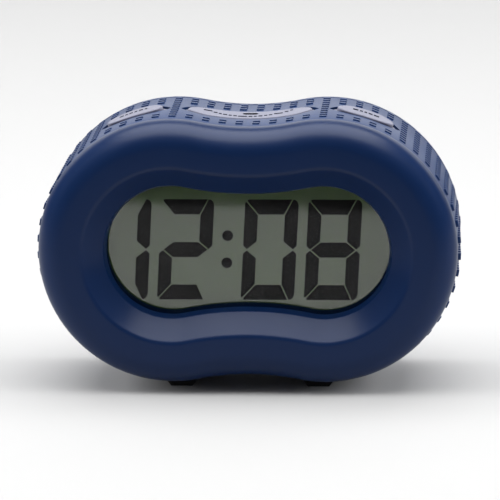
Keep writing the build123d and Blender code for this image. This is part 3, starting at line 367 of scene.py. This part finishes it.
navy = (0.0026, 0.015, 0.0625)
silver = (0.166, 0.171, 0.232)
finishes = {
    "bezel": moulded("softNavy", navy, 0.36, 1900.0, 0.0025 * mm, IOR=1.29),
    "tread": moulded("navyTread", (0.006, 0.027, 0.1), 0.38, 2200.0, 0.003 * mm, IOR=1.34),
    "case": moulded("navyTube", (0.01, 0.025, 0.1), 0.5),
    "rear": moulded("navyBack", (0.0045, 0.0225, 0.084), 0.42, 1500.0, 0.015 * mm, IOR=1.33),
    "foot": moulded("footRubber", (0.012, 0.012, 0.013), 0.7, 1800.0, 0.012 * mm, IOR=1.3),
    # the dark stop is painted shade on the key walls, which face away from the light
    "key": wallShaded(moulded("silverKeys", silver, 0.46, 3600.0, 0.003 * mm, 0.05, 0.1, IOR=1.38),
                 ((0.35, silver), (0.8, (0.055, 0.057, 0.095)))),
    "sensor": moulded("smokedLens", (0.003, 0.003, 0.004), 0.4, 1500.0, 0.001 * mm, Specular_IOR_Level=0.0),
    "holder": moulded("whiteFrame", (0.75, 0.75, 0.72), 0.5),
    "guide": moulded("clearGuide", (0.8, 0.83, 0.8), 0.15),
    "contact_rubber": striped(moulded("layeredRubber", (0.1, 0.1, 0.11), 0.6), 0.0,
                              ((0.45, (0.06, 0.06, 0.07)), (0.55, (0.3, 0.3, 0.32))), 3000.0, "X"),
    "led": moulded("ledResin", (0.85, 0.8, 0.6), 0.25),
    "board": striped(moulded("greenBoard", (0.02, 0.11, 0.04), 0.35), 6.0,
                     ((0.42, (0.015, 0.08, 0.03)), (0.5, (0.03, 0.15, 0.06))), 180.0, "Z"),
    "resin": moulded("chipResin", (0.008, 0.008, 0.009), 0.2, 900.0, 0.02 * mm),
    "can": metal("tinnedCan", (0.72, 0.72, 0.74), 0.15),
    "switch": moulded("blackSwitch", (0.014, 0.014, 0.015), 0.45),
    "buzzer": moulded("blackSounder", (0.016, 0.016, 0.017), 0.5),
    "ribbon": striped(moulded("flatCable", (0.5, 0.5, 0.5), 0.5), 0.0,
                      ((0.4, (0.3, 0.3, 0.31)), (0.6, (0.62, 0.62, 0.6))), 500.0, "X"),
    "cell": banded(metal("cellSleeve", (0.2, 0.21, 0.23), 0.35, 600.0), 44.5 * mm,
                   ((0.0, (0.6, 0.6, 0.6)), (0.03, (0.11, 0.12, 0.14)),
                    (0.7, (0.42, 0.43, 0.45)), (0.95, (0.6, 0.6, 0.6)))),
    "contact": metal("nickelStrip", (0.66, 0.65, 0.6), 0.25),
    "screw": metal("zincScrew", (0.5, 0.5, 0.5), 0.3, 1500.0),
}

pane = {"tint": (0.9, 0.95, 0.93, 1), "gloss": 0.03, "hazeScale": 60.0, "hazeDetail": 3.0, "hazeSpan": 0.001,
        "film": 0.0002}
glass = {"colour": (0.034, 0.06, 0.019, 1), "grain": 5200.0, "clouds": 0.06, "gloss": 0.06, "spread": 0.03,
         "bump": 0.0004 * mm, "ior": 1.886}


def makeWindow():  # polished pane: clear, with the faintest haze
    material, tree, shader = blank("clearPane")
    setSockets(shader, {"Base Color": pane["tint"], "Metallic": 1.0, "Roughness": pane["gloss"]})
    coord = add(tree, "ShaderNodeTexCoord").outputs["Object"]
    haze = noise(tree, coord, pane["hazeScale"], pane["hazeDetail"])
    tree.links.new(sums(tree, "MULTIPLY_ADD", haze, pane["hazeSpan"], pane["film"]), shader.inputs["Alpha"])
    return material


def makeDisplay():  # grey-green glass with a strong sheen
    material, tree, shader = blank("displayGlass")
    setSockets(shader, {"IOR": glass["ior"]})
    wear(tree, shader, mouldGrain, glass["bump"],
         {"Colour": glass["colour"], "Grain": glass["grain"], "Clouds": glass["clouds"], "Gloss": glass["gloss"],
          "Spread": glass["spread"]})
    return material


finishes["window"] = makeWindow()
finishes["display"] = makeDisplay()
digitInk = moulded("digitInk", (0.0012, 0.0012, 0.0012), 0.06, 4000.0, 0.0001 * mm, 0.05, 0.03, IOR=1.285)
paleInk = moulded("paleInk", (0.55, 0.56, 0.58), 0.55, 4000.0, 0.0005 * mm)
keyInk = moulded("keyInk", (0.018, 0.02, 0.03), 0.6, 4000.0, 0.0005 * mm, Specular_IOR_Level=0.0)
# painted shade and painted reflection of the bezel lip, laid on the display as a dark border
lipShadeInk = moulded("lipShadeInk", (0.002, 0.011, 0.034), 0.5, 4000.0, 0.0005 * mm, Specular_IOR_Level=0.1)

for row in frame["record"]["subparts"]:
    mesh = nodes[row["node"]].data
    mesh.materials.clear()
    mesh.materials.append(finishes[row["material_slot"]])
print("finishes", len(finishes))


# Bezel

bezel = {"depth": 9.0, "wall": 2.4, "roll": 7.7, "flat": 27.4, "turn": 2.2, "steep": 43, "coveFoot": (22.3, 3.85),
         "lip": (20.2, 5.6), "edge": (19.5, 8.6), "seat": 21.6, "lipSoft": 0.4, "backSoft": 0.06, "smooth": 35}
bezelSteps = {"roll": 16, "turn": 10, "cove": 12, "lip": 8, "inside": 10, "soft": 4}


def makeBezel():
    b, steps, outer = bezel, bezelSteps, lobeRadius / mm
    wall, roll, steep = b["wall"], b["roll"], radians(b["steep"])
    bm = bmesh.new()
    first = drawTo(bm, None, outer, b["depth"])
    vert = drawTo(bm, first, outer, roll)
    vert = turnTo(bm, vert, (outer - roll, roll), pi / 2, steps["roll"])
    vert = drawTo(bm, vert, b["flat"], 0)
    vert = turnTo(bm, vert, (b["flat"], b["turn"]), steep, steps["turn"])
    brow = (b["flat"] - b["turn"] * sin(steep), b["turn"] * (1 - cos(steep)))
    foot, heading = sweepTo(bm, vert, brow, pi - steep, b["coveFoot"], steps["cove"])
    lip = sweepTo(bm, foot, b["coveFoot"], heading, b["lip"], steps["lip"])[0]
    vert = drawTo(bm, lip, *b["edge"])
    for radius, depth in ((b["seat"], b["edge"][1]), (b["coveFoot"][0] + wall, b["coveFoot"][1] + wall),
                          (brow[0] + wall, brow[1] + wall), (outer - roll, wall)):
        vert = drawTo(bm, vert, radius, depth)
    vert = turnTo(bm, vert, (outer - roll, roll), -pi / 2, steps["inside"])
    vert = drawTo(bm, vert, outer - wall, b["depth"])
    bm.edges.new((vert, first))
    for corner, soft in ((lip, b["lipSoft"]), (first, b["backSoft"])):
        soften(bm, [corner], soft * mm, steps["soft"])
    carryRound(bm)
    fit(place(bm, "frontBezel", finishes["bezel"], b["smooth"]), "case", "bezel", "front_bezel")


makeBezel()


# Tread band with its ribs

band = {"step": 0.05 * mm, "thickness": 1.4 * mm, "edge": 0.03 * mm, "edgeSteps": 3, "columns": 68, "smooth": 50}
rib = {"width": 2.1 * mm, "length": 1.35 * mm, "height": 0.4 * mm, "root": 0.3 * mm, "pitch": 3.1 * mm,
       "start": 3.3 * mm, "end": 1.2 * mm, "soft": 0.13 * mm, "softSteps": 2, "margin": 1.4 * mm,
       "flankRise": 2.4, "flankFrom": 0.7}
footLow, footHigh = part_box("right_foot")
bandRadius = lobeRadius - band["step"]
bandBend = waistReach - bandRadius
bandLength = 4 * (waistTurn * bandBend + lobeTurn * bandRadius)
columnPitch = bandLength / band["columns"]
keyY = (tubeLow.y + tubeHigh.y) / 2
shoulderKey = 7 * columnPitch  # whole columns from the middle, as in the CAD
keyShape = {"width": 11.3 * mm, "pointArc": 10.0 * mm, "gap": 0.4 * mm, "sink": 0.55 * mm, "deep": 3.2 * mm,
            "crown": 60.0 * mm, "longer": 1.0 * mm, "cut": 6 * mm, "arcSteps": 12, "sideSteps": 16, "smooth": 30}
keys = {"snooze": {"node": "snooze_key", "at": 0.0, "length": 40.4 * mm, "rise": 0.25 * mm},
        "left_button": {"node": "left_key", "at": -shoulderKey, "length": 21.2 * mm, "rise": 0.5 * mm},
        "right_button": {"node": "right_key", "at": shoulderKey, "length": 21.2 * mm, "rise": 0.5 * mm}}


def almond(bm, length, inset):  # pointed face: straight sides, two arcs at each end
    arc, arcSteps, sideSteps = (keyShape[key] for key in ("pointArc", "arcSteps", "sideSteps"))
    below = arc - keyShape["width"] / 2
    straight = length / 2 - sqrt(arc**2 - below**2)
    turn = acos(below / (arc - inset))
    chains = []
    for side in (1, -1):
        vert = bm.verts.new((-straight - (arc - inset) * sin(turn), 0, 0))
        before = set(bm.edges)
        for x, angle, step, steps in ((-straight, turn, 0, arcSteps), (0, 0, 2 * straight / sideSteps, sideSteps),
                                      (straight, turn, 0, arcSteps)):
            made = bmesh.ops.spin(bm, geom=[vert], cent=(x, -side * below, 0), axis=(0, 0, 1), dvec=(step, 0, 0),
                                  angle=-side * angle, steps=steps, use_duplicate=False)
            vert = lastVert(made)
        chains += [e for e in bm.edges if e not in before]
    faces = bmesh.ops.bridge_loops(bm, edges=chains)["faces"]
    bmesh.ops.remove_doubles(bm, verts=bm.verts[:], dist=weld)
    return [f for f in faces if f.is_valid]


def bandDrop(key, x):  # height of the band beside a key, from the middle of the key
    if key["at"]:
        return sqrt(bandRadius**2 - x**2) - bandRadius
    if abs(x) < lobeX * bandBend / waistReach:
        height = waistZ - sqrt(bandBend**2 - x**2)
    else:
        height = sqrt(bandRadius**2 - (abs(x) - lobeX) ** 2)
    return height - (bandRadius - waistDip)


def faceHeight(key, x):  # finger face of a key, from the band at the middle of the key
    if not key["at"]:
        return bandDrop(key, x) + key["rise"]
    return sqrt(keyShape["crown"] ** 2 - x**2) - keyShape["crown"] + key["rise"]


def keyCutter():  # the openings for all three keys
    bm = bmesh.new()
    for key in keys.values():
        one = bmesh.new()
        faces = almond(one, key["length"] + keyShape["longer"], 0)
        bmesh.ops.translate(one, verts=one.verts[:], vec=(0, 0, -keyShape["cut"]))
        raiseFaces(one, faces, (0, 0, 2 * keyShape["cut"]))
        bmesh.ops.recalc_face_normals(one, faces=one.faces[:])
        one.transform(onOutline(key["at"], bandRadius, keyY))
        pourInto(bm, one)
    return place(bm, "keyCutter", None)


def oneRib():  # soft block, sunk a little in the band
    bm = bmesh.new()
    bmesh.ops.create_cube(bm, size=1)
    tall = rib["height"] + rib["root"]
    bmesh.ops.scale(bm, verts=bm.verts[:], vec=(rib["width"], rib["length"], tall))
    bmesh.ops.translate(bm, verts=bm.verts[:], vec=(0, 0, rib["height"] - tall / 2))
    soft = [e for e in bm.edges if max(v.co.z for v in e.verts) > 0]
    soften(bm, soft, rib["soft"], rib["softSteps"], "EDGES")
    mesh = bpy.data.meshes.new("rib")
    bm.to_mesh(mesh)
    bm.free()
    return mesh


def ribIsClear(travel, near):  # no rib on a key's opening or a foot
    for key in keys.values():
        beside = abs(travel - key["at"]) - rib["width"] / 2 > key["length"] / 2
        before = near + rib["length"] < keyY - keyShape["width"] / 2 - rib["margin"]
        behind = near > keyY + keyShape["width"] / 2 + rib["margin"]
        if not (beside or before or behind):
            return False
    spot = onOutline(travel, bandRadius, 0).translation
    return spot.z > middleZ or not footLow.x - rib["width"] < abs(spot.x) < footHigh.x + rib["width"]


def addRibs(bm):
    mesh = oneRib()
    rows = int((tubeHigh.y - tubeLow.y - rib["start"] - rib["end"] - rib["length"]) / rib["pitch"]) + 1
    count = 0
    for column in range(band["columns"]):
        travel = (column + 0.5 - band["columns"] / 2) * columnPitch
        for row in range(rows):
            y = tubeLow.y + rib["start"] + row * rib["pitch"]
            if not ribIsClear(travel, y):
                continue
            spot = onOutline(travel, bandRadius, y + rib["length"] / 2)
            flank = min(1, max(0, 1 - spot.col[2].z / rib["flankFrom"]))
            flank *= (1 - row / (rows - 1)) ** 2  # ribs stand taller on the sides, most of all in front
            stamp(bm, mesh, spot @ Matrix.Diagonal((1, 1, 1 + (rib["flankRise"] - 1) * flank, 1)))
            count += 1
    bpy.data.meshes.remove(mesh)
    print("ribs", count)


def makeBand():
    bm = bmesh.new()
    near, far = (tubeLow.y - frontY) / mm, (tubeHigh.y - frontY) / mm
    outer, inner = bandRadius / mm, (bandRadius - band["thickness"]) / mm
    corners = drawLoop(bm, ((inner, near), (outer, near), (outer, far), (inner, far)))
    soften(bm, corners[1:3], band["edge"], band["edgeSteps"])
    carryRound(bm)
    bm = cutWith(place(bm, "bandSkin", None), keyCutter())
    addRibs(bm)
    fit(place(bm, "treadBand", finishes["tread"], band["smooth"]), "case", "tread", "tread_band")


makeBand()


# Pointed tips of the keys, just below the band


def makeKeyTip(body, key):
    bm = bmesh.new()
    faces = almond(bm, key["length"], keyShape["gap"])
    top = set(raiseFaces(bm, faces, (0, 0, 0)))
    for vert in bm.verts:
        vert.co.z = bandDrop(key, vert.co.x) - keyShape["sink" if vert in top else "deep"]
    bmesh.ops.recalc_face_normals(bm, faces=bm.faces[:])
    bm.transform(onOutline(key["at"], bandRadius, keyY))
    fit(place(bm, key["node"].replace("_key", "KeyTips"), finishes["key"], keyShape["smooth"]), body, "key")


for body, key in keys.items():
    makeKeyTip(body, key)


# Plain rows of printed dashes on the keys

dashes = {"thick": 0.03, "sunk": 0.02, "gap": 0.5, "segments": 6, "smooth": 30,
          "snooze": {"width": 1.25, "across": (-14.0, 12.2), "back": (2.2, -2.5, 2.2),
                     "lengths": (2.6, 1.1, 0.8, 1.2, 0.9, 1.0)},
          "left_button": {"width": 1.5, "across": (-4.6, 3.4), "back": (0.2, 0.5, 0.8),
                          "lengths": (1.3, 0.8, 1.1, 0.9)},
          "right_button": {"width": 1.7, "across": (-4.2, 3.6), "back": (0.6, 0.4, 0.2),
                           "lengths": (1.6, 0.9, 0.8, 1.2)}}


def makeDashes(body, key):
    row = dashes[body]
    start, end = row["across"]
    left, middle, right = row["back"]
    bm = bmesh.new()
    x, count = start, 0
    toKey = onOutline(key["at"], bandRadius, keyY)
    while x < end:
        length = row["lengths"][count % len(row["lengths"])]
        t = 2 * (x + length / 2 - start) / (end - start) - 1
        y = middle + t * (right - left) / 2 + t * t * ((left + right) / 2 - middle)
        one = bmesh.new()
        bmesh.ops.create_grid(one, x_segments=dashes["segments"], y_segments=1, size=0.5)
        bmesh.ops.scale(one, verts=one.verts[:], vec=(length * mm, row["width"] * mm, 1))
        bmesh.ops.translate(one, verts=one.verts[:], vec=((x + length / 2) * mm, y * mm, 0))
        for vert in one.verts:
            vert.co.z = faceHeight(key, vert.co.x) - dashes["sunk"] * mm
        raiseFaces(one, one.faces[:], (0, 0, dashes["thick"] * mm))
        bmesh.ops.recalc_face_normals(one, faces=one.faces[:])
        one.transform(toKey)
        pourInto(bm, one)
        x += length + dashes["gap"]
        count += 1
    fit(place(bm, key["node"].replace("_key", "KeyDashes"), keyInk, dashes["smooth"]), body, "sensor")


for body, key in keys.items():
    makeDashes(body, key)


# Screws in the back, with cross recesses

screw = {"head": 5.2 * mm, "headHeight": 1.8 * mm, "shank": 2.6 * mm, "point": 0.8 * mm, "soft": 0.5 * mm,
         "softSteps": 4, "sides": 40, "slot": (3.2 * mm, 0.62 * mm), "slotDepth": 1.0 * mm, "taper": 0.55,
         "turns": (14, 52, 75, 33), "smooth": 35}


def turnedScrew(low, high):  # head and shank, spun about y
    bm = bmesh.new()
    head, shank, point = screw["head"] / 2, screw["shank"] / 2, screw["point"]
    seat = high.y - screw["headHeight"]
    profile = [(0, low.y), (shank - point, low.y), (shank, low.y + point), (shank, seat), (head, seat)]
    verts = [bm.verts.new((radius, y, 0)) for radius, y in profile]
    rim = bm.verts.new((head, high.y, 0))
    verts += [rim, bm.verts.new((0, high.y, 0))]
    for a, b in zip(verts, verts[1:]):
        bm.edges.new((a, b))
    soften(bm, [rim], screw["soft"], screw["softSteps"])
    bmesh.ops.spin(bm, geom=bm.verts[:] + bm.edges[:], cent=(0, 0, 0), axis=(0, 1, 0), dvec=(0, 0, 0), angle=2 * pi,
                   steps=screw["sides"], use_merge=True, use_duplicate=False)
    bmesh.ops.remove_doubles(bm, verts=bm.verts[:], dist=weld)
    bmesh.ops.recalc_face_normals(bm, faces=bm.faces[:])
    return place(bm, "screwBody", None)


def makeScrews():
    low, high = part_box("case_screws")
    body = turnedScrew(low, high)
    long, wide = screw["slot"]
    for size in ((long, wide), (wide, long)):  # one arm of the cross at a time
        bm = bmesh.new()
        bmesh.ops.create_cube(bm, size=1)
        for vert in bm.verts:
            narrow = screw["taper"] if vert.co.y < 0 else 1  # the ends of the arm slope inward
            vert.co.x *= size[0] * (narrow if size[0] == long else 1)
            vert.co.z *= size[1] * (narrow if size[1] == long else 1)
            vert.co.y = high.y + (screw["slotDepth"] if vert.co.y > 0 else -screw["slotDepth"])
        body = place(cutWith(body, place(bm, "screwRecess", None)), "screwBody", None)
    mesh = body.data.copy()
    bpy.data.objects.remove(body)
    bm = bmesh.new()
    head = screw["head"] / 2
    spots = [(x, z) for x in (low.x + head, high.x - head) for z in (low.z + head, high.z - head)]
    for (x, z), turn in zip(spots, screw["turns"]):
        stamp(bm, mesh, Matrix.Translation((x, 0, z)) @ Matrix.Rotation(radians(turn), 4, "Y"))
    bpy.data.meshes.remove(mesh)
    fit(place(bm, "caseScrews", finishes["screw"], screw["smooth"]), "case", "screw", "case_screws")


makeScrews()


# Printed marks above the switches: off and on, and three places

marks = {"thick": 0.03 * mm, "sunk": 0.02 * mm, "bar": (0.5 * mm, 1.8 * mm), "ring": (0.95 * mm, 0.5 * mm),
         "ringSides": 32, "above": 5.2 * mm, "smooth": 30, "alarm_switch": ((-1.5, "bar"), (1.5, "ring")),
         "mode_switch": ((-3.0, "bar"), (0.0, "bar"), (3.0, "bar"))}


def makeMarks():
    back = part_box("rear_cover")[1].y
    bm = bmesh.new()
    for node in ("alarm_switch", "mode_switch"):
        low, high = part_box(node)
        for across, kind in marks[node]:
            x, z = (low.x + high.x) / 2 + across * mm, (low.z + high.z) / 2 + marks["above"]
            spot = Matrix.Translation((x, back - marks["sunk"], z)) @ Matrix.Rotation(-pi / 2, 4, "X")
            before = set(bm.faces)
            if kind == "bar":
                bmesh.ops.create_grid(bm, x_segments=1, y_segments=1, size=0.5,
                                      matrix=spot @ Matrix.Diagonal((*marks["bar"], 1, 1)))
                faces = [f for f in bm.faces if f not in before]
            else:
                outer, inner = marks["ring"]
                bmesh.ops.create_circle(bm, cap_ends=True, radius=outer, segments=marks["ringSides"], matrix=spot)
                disc = [f for f in bm.faces if f not in before]
                faces = bmesh.ops.inset_region(bm, faces=disc, thickness=outer - inner, use_boundary=True,
                                               use_even_offset=True)["faces"]
                bmesh.ops.delete(bm, geom=disc, context="FACES")
            raiseFaces(bm, faces, (0, marks["thick"], 0))
    bmesh.ops.recalc_face_normals(bm, faces=bm.faces[:])
    fit(place(bm, "switchMarks", paleInk, marks["smooth"]), "case", "holder")


makeMarks()


# Time on the display, in seven bars

figures = {"top": 14.95, "bottom": -16.1, "middle": -0.6, "bar": 4.3, "rail": 4.95, "gap": 0.32, "thick": 0.03,
           "slant": 3.3, "round": 1.0, "corner": 1.7, "cornerReach": 1.29, "softSteps": 4, "mitre": 1.9, "tip": 1.25,
           "shown": ((-46.0, -29.4, "bc"), (-26.9, -10.7, "abged"), (-1.8, 14.5, "abcdef"), (17.1, 33.45, "abcdefg")),
           "dots": ((-6.2, 3.7), (-6.55, -4.6)), "dot": 1.62, "dotSides": 28, "shoulder": 1.1, "near": 0.01,
           "smooth": 30}
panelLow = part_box("lcd_panel")[0]


def sevenBars(left, right, top, middle, bottom):  # faces of all seven bars, mitred where they meet
    bar, near = figures["bar"], figures["near"]
    one = bmesh.new()
    bmesh.ops.create_grid(one, x_segments=1, y_segments=2, size=0.5)
    for vert in one.verts:
        level = middle if abs(vert.co.y) < near else top if vert.co.y > 0 else bottom
        vert.co = (left if vert.co.x < 0 else right, level, 0)
    cells = sorted(one.faces, key=lambda face: -face.calc_center_median().y)
    bmesh.ops.inset_individual(one, faces=cells, thickness=bar, use_even_offset=True)
    for cell in cells:  # the middle bar is shared by both halves
        for vert in cell.verts:
            if abs(vert.co.y - middle) < bar + near:
                vert.co.y = middle + (bar / 2 if vert.co.y > middle else -bar / 2)
    bmesh.ops.delete(one, geom=cells, context="FACES")
    shared = [e for e in one.edges if all(abs(v.co.y - middle) < near for v in e.verts)]
    bmesh.ops.dissolve_edges(one, edges=shared, use_verts=False)
    for level, inside in ((top, top - bar), (bottom, bottom + bar)):  # right uprights keep their corners
        far, corner, inner = [min(one.verts, key=lambda v: (v.co.xy - Vector(spot)).length)
                              for spot in ((left, level), (right, level), (right - bar, inside))]
        share = figures["mitre"] / (right - left)
        point = bmesh.utils.edge_split(one.edges.get((corner, far)), corner, share)[1]
        bmesh.utils.face_split(point.link_faces[0], point, inner)
        bmesh.utils.face_join(one.edges.get((inner, corner)).link_faces[:], True)
    return one


def barName(dx, dy):  # usual letters of the bars, by the place of their middle
    close = figures["bar"] / 4
    if abs(dy) < close:
        return "g"
    if abs(dx) < close:
        return "a" if dy > 0 else "d"
    upper, lower = "bc" if dx > 0 else "fe"
    return upper if dy > 0 else lower


def makeFigure(bm, left, right, bars):
    f = figures
    squeeze = f["bar"] / f["rail"]  # drawn squeezed, because level bars are thicker than upright ones
    top, middle, bottom = (f[key] * squeeze for key in ("top", "middle", "bottom"))
    one = sevenBars(left, right, top, middle, bottom)
    for face in one.faces[:]:
        spot = face.calc_center_median()
        if barName(spot.x - (left + right) / 2, spot.y - middle) not in bars:
            one.faces.remove(face)
    bmesh.ops.delete(one, geom=[e for e in one.edges if not e.link_faces], context="EDGES")
    rim = bmesh.ops.inset_individual(one, faces=one.faces[:], thickness=f["gap"] / 2, use_even_offset=True)["faces"]
    bmesh.ops.delete(one, geom=rim, context="FACES")
    bmesh.ops.delete(one, geom=[v for v in one.verts if not v.link_faces], context="VERTS")
    for side, soft in ((left, f["round"]), (right, f["corner"])):
        sharp = [v for v in one.verts if any((v.co.xy - Vector((side, y))).length < f["cornerReach"]
                                             for y in (top, bottom))]
        soften(one, sharp, soft, f["softSteps"])
    for side, inward in ((left, 1), (right, -1)):  # points at the middle stand a little inside the outline
        ends = [v for v in one.verts if abs(v.co.y - middle) < f["bar"] / 4 and abs(v.co.x - side) < f["bar"] / 2]
        level = [v for v in ends if abs(v.co.y - middle) < f["near"]]
        for vert in level:
            vert.co.x += inward * f["tip"]
        for vert in soften(one, [v for v in ends if v not in level], f["tip"], 1)["verts"]:
            up = 1 if vert.co.y > middle else -1
            vert.co.y = middle + up * (f["gap"] / 2 if abs(vert.co.x - side) > f["tip"] / 2 else f["shoulder"])
    bmesh.ops.scale(one, verts=one.verts[:], vec=(1, 1 / squeeze, 1))
    pourInto(bm, one)


def makeTime():
    bm = bmesh.new()
    for left, right, bars in figures["shown"]:
        makeFigure(bm, left, right, bars)
    for vert in bm.verts:
        vert.co.x += vert.co.y * sin(radians(figures["slant"]))
    for x, y in figures["dots"]:
        bmesh.ops.create_circle(bm, cap_ends=True, radius=figures["dot"], segments=figures["dotSides"],
                                matrix=Matrix.Translation((x, y, 0)))
    raiseFaces(bm, bm.faces[:], (0, 0, figures["thick"]))
    bmesh.ops.recalc_face_normals(bm, faces=bm.faces[:])
    stand = Matrix.Translation((0, panelLow.y, middleZ)) @ Matrix.Rotation(pi / 2, 4, "X") @ Matrix.Scale(mm, 4)
    bm.transform(stand)
    fit(place(bm, "timeFigures", digitInk, figures["smooth"]), "case", "display")


makeTime()


# Dark navy border on the display, a little high so that it shows below: painted shade and painted reflection of the
# bezel lip

border = {"inner": 19.5, "width": 1.6, "thick": 0.03, "lift": 0.5, "smooth": 30}


def makeBorder():
    bm = bmesh.new()
    back = (panelLow.y - frontY) / mm
    inner, outer, front = border["inner"], border["inner"] + border["width"], back - border["thick"]
    drawLoop(bm, ((inner, back), (inner, front), (outer, front), (outer, back)))
    carryRound(bm)
    bmesh.ops.translate(bm, verts=bm.verts[:], vec=(0, 0, border["lift"] * mm))
    fit(place(bm, "displayBorder", lipShadeInk, border["smooth"]), "case", "display")


makeBorder()


# Camera at the photograph's angle

shot = {"distance": 1271 * mm, "elevation": 12.9, "azimuth": 3.75, "focalPixels": 4300, "roll": -0.61,
        "centreRight": 4.0, "centreUp": 6.8, "framePixels": 500, "sensor": 36, "sight": 20}


def placeCamera():
    aim = Vector((0, frontY, middleZ))
    e, a, r = (radians(shot[key]) for key in ("elevation", "azimuth", "roll"))
    back = Vector((sin(a) * cos(e), -cos(a) * cos(e), sin(e)))
    right = Vector((cos(a), sin(a), 0))
    up = back.cross(right)
    right, up = right * cos(r) + up * sin(r), up * cos(r) - right * sin(r)
    pixel = shot["distance"] / shot["focalPixels"]
    eye = aim + back * shot["distance"]
    target = aim + right * shot["centreRight"] * pixel + up * shot["centreUp"] * pixel
    z = (eye - target).normalized()
    x = (right - z * right.dot(z)).normalized()
    data = bpy.data.cameras.new("photoCamera")
    data.sensor_width = shot["sensor"]
    data.lens = data.sensor_width * shot["focalPixels"] / shot["framePixels"]
    data.clip_end = shot["sight"]
    camera = bpy.data.objects.new("photoCamera", data)
    camera.matrix_world = Matrix((x, z.cross(x), z)).transposed().to_4x4()
    camera.location = eye
    bpy.context.scene.collection.objects.link(camera)
    bpy.context.scene.camera = camera


placeCamera()


# Table, lamps and surroundings

studio = {"tableColour": (0.5, 0.5, 0.5), "tableGloss": 0.5, "tableShine": 0.0, "tableEdge": -0.265, "edgeTurn": 6.6,
          "reach": 3.0, "room": 0.1, "bounce": 0.07, "paper": (0.93, 0.935, 0.94)}
lamps = {"overhead": {"at": (0.0, -0.02, 1.05), "aim": (0, -0.02, 0), "size": (1.25, 1.15), "watts": 16.5},
         "overheadSheen": {"at": (0.0, -0.02, 1.06), "aim": (0, 0, 0), "size": (1.25, 1.15), "watts": 16.5,
                           "glossOnly": True},
         "leftFill": {"at": (-1.1, -0.1, 0.6), "aim": (0, 0, 0.02), "size": (0.8, 0.8), "watts": 12.0,
                      "diffuseOnly": True},
         "rightFill": {"at": (1.1, -0.1, 0.6), "aim": (0, 0, 0.02), "size": (0.8, 0.8), "watts": 12.0,
                       "diffuseOnly": True},
         "backdrop": {"at": (0.0, 1.5, 0.64), "aim": (0, 0, 0.3), "size": (3.4, 0.9), "watts": 11.0},
         "backSheen": {"at": (0.0, 1.6, 0.64), "aim": (0, 0, 0.3), "size": (3.0, 0.9), "watts": 2.5,
                       "glossOnly": True},
         "farWash": {"at": (0.0, 1.1, 1.3), "aim": (0, 0.85, 0), "size": (2.2, 0.6), "watts": 5.5,
                     "diffuseOnly": True}}


def makeTable():
    paper = moulded("palePaper", studio["tableColour"], studio["tableGloss"], 900.0, 0.001 * mm, 0.01, 0.04,
                    Specular_IOR_Level=studio["tableShine"])
    turned = Matrix.Rotation(radians(studio["edgeTurn"]), 3, "Z")
    for name, side in (("tableTop", 1), ("tableFront", -1)):
        bm = bmesh.new()
        bmesh.ops.create_grid(bm, x_segments=1, y_segments=1, size=studio["reach"])
        bmesh.ops.bisect_plane(bm, geom=bm.verts[:] + bm.edges[:] + bm.faces[:], plane_co=(0, studio["tableEdge"], 0),
                               plane_no=turned @ Vector((0, side, 0)), clear_inner=True)
        floor = place(bm, name, paper)
        if name == "tableFront":  # beyond the table's edge only the camera sees a floor
            floor.visible_glossy = floor.visible_diffuse = False
            floor.visible_shadow = floor.visible_transmission = False


def makeLamps():
    for name, lamp in lamps.items():
        data = bpy.data.lights.new(name, "AREA")
        data.shape = "RECTANGLE"
        data.size, data.size_y = lamp["size"]
        data.energy = lamp["watts"]
        light = bpy.data.objects.new(name, data)
        at = Vector(lamp["at"])
        facing = (at - Vector(lamp["aim"])).to_track_quat("Z", "Y")
        light.matrix_world = Matrix.Translation(at) @ facing.to_matrix().to_4x4()
        bpy.context.scene.collection.objects.link(light)
        light.visible_diffuse = not lamp.get("glossOnly", False)
        light.visible_glossy = not lamp.get("diffuseOnly", False)


def makeRoom():
    world = bpy.data.worlds.new("studioRoom")
    world.use_nodes = True
    bpy.context.scene.world = world
    tree = world.node_tree
    seen, dim = tree.nodes["Background"], add(tree, "ShaderNodeBackground")
    seen.inputs[0].default_value = (*studio["paper"], 1)
    dim.inputs[0].default_value = (1, 1, 1, 1)
    mix = add(tree, "ShaderNodeMixShader")
    path = add(tree, "ShaderNodeLightPath")
    glow = sums(tree, "MULTIPLY_ADD", path.outputs["Is Diffuse Ray"], studio["bounce"], studio["room"])
    tree.links.new(glow, dim.inputs[1])
    tree.links.new(path.outputs["Is Camera Ray"], mix.inputs[0])
    tree.links.new(dim.outputs[0], mix.inputs[1])
    tree.links.new(seen.outputs[0], mix.inputs[2])
    tree.links.new(mix.outputs[0], tree.nodes["World Output"].inputs["Surface"])


makeTable()
makeLamps()
makeRoom()
bpy.context.scene.view_settings.view_transform = "Standard"
print("studio ready")
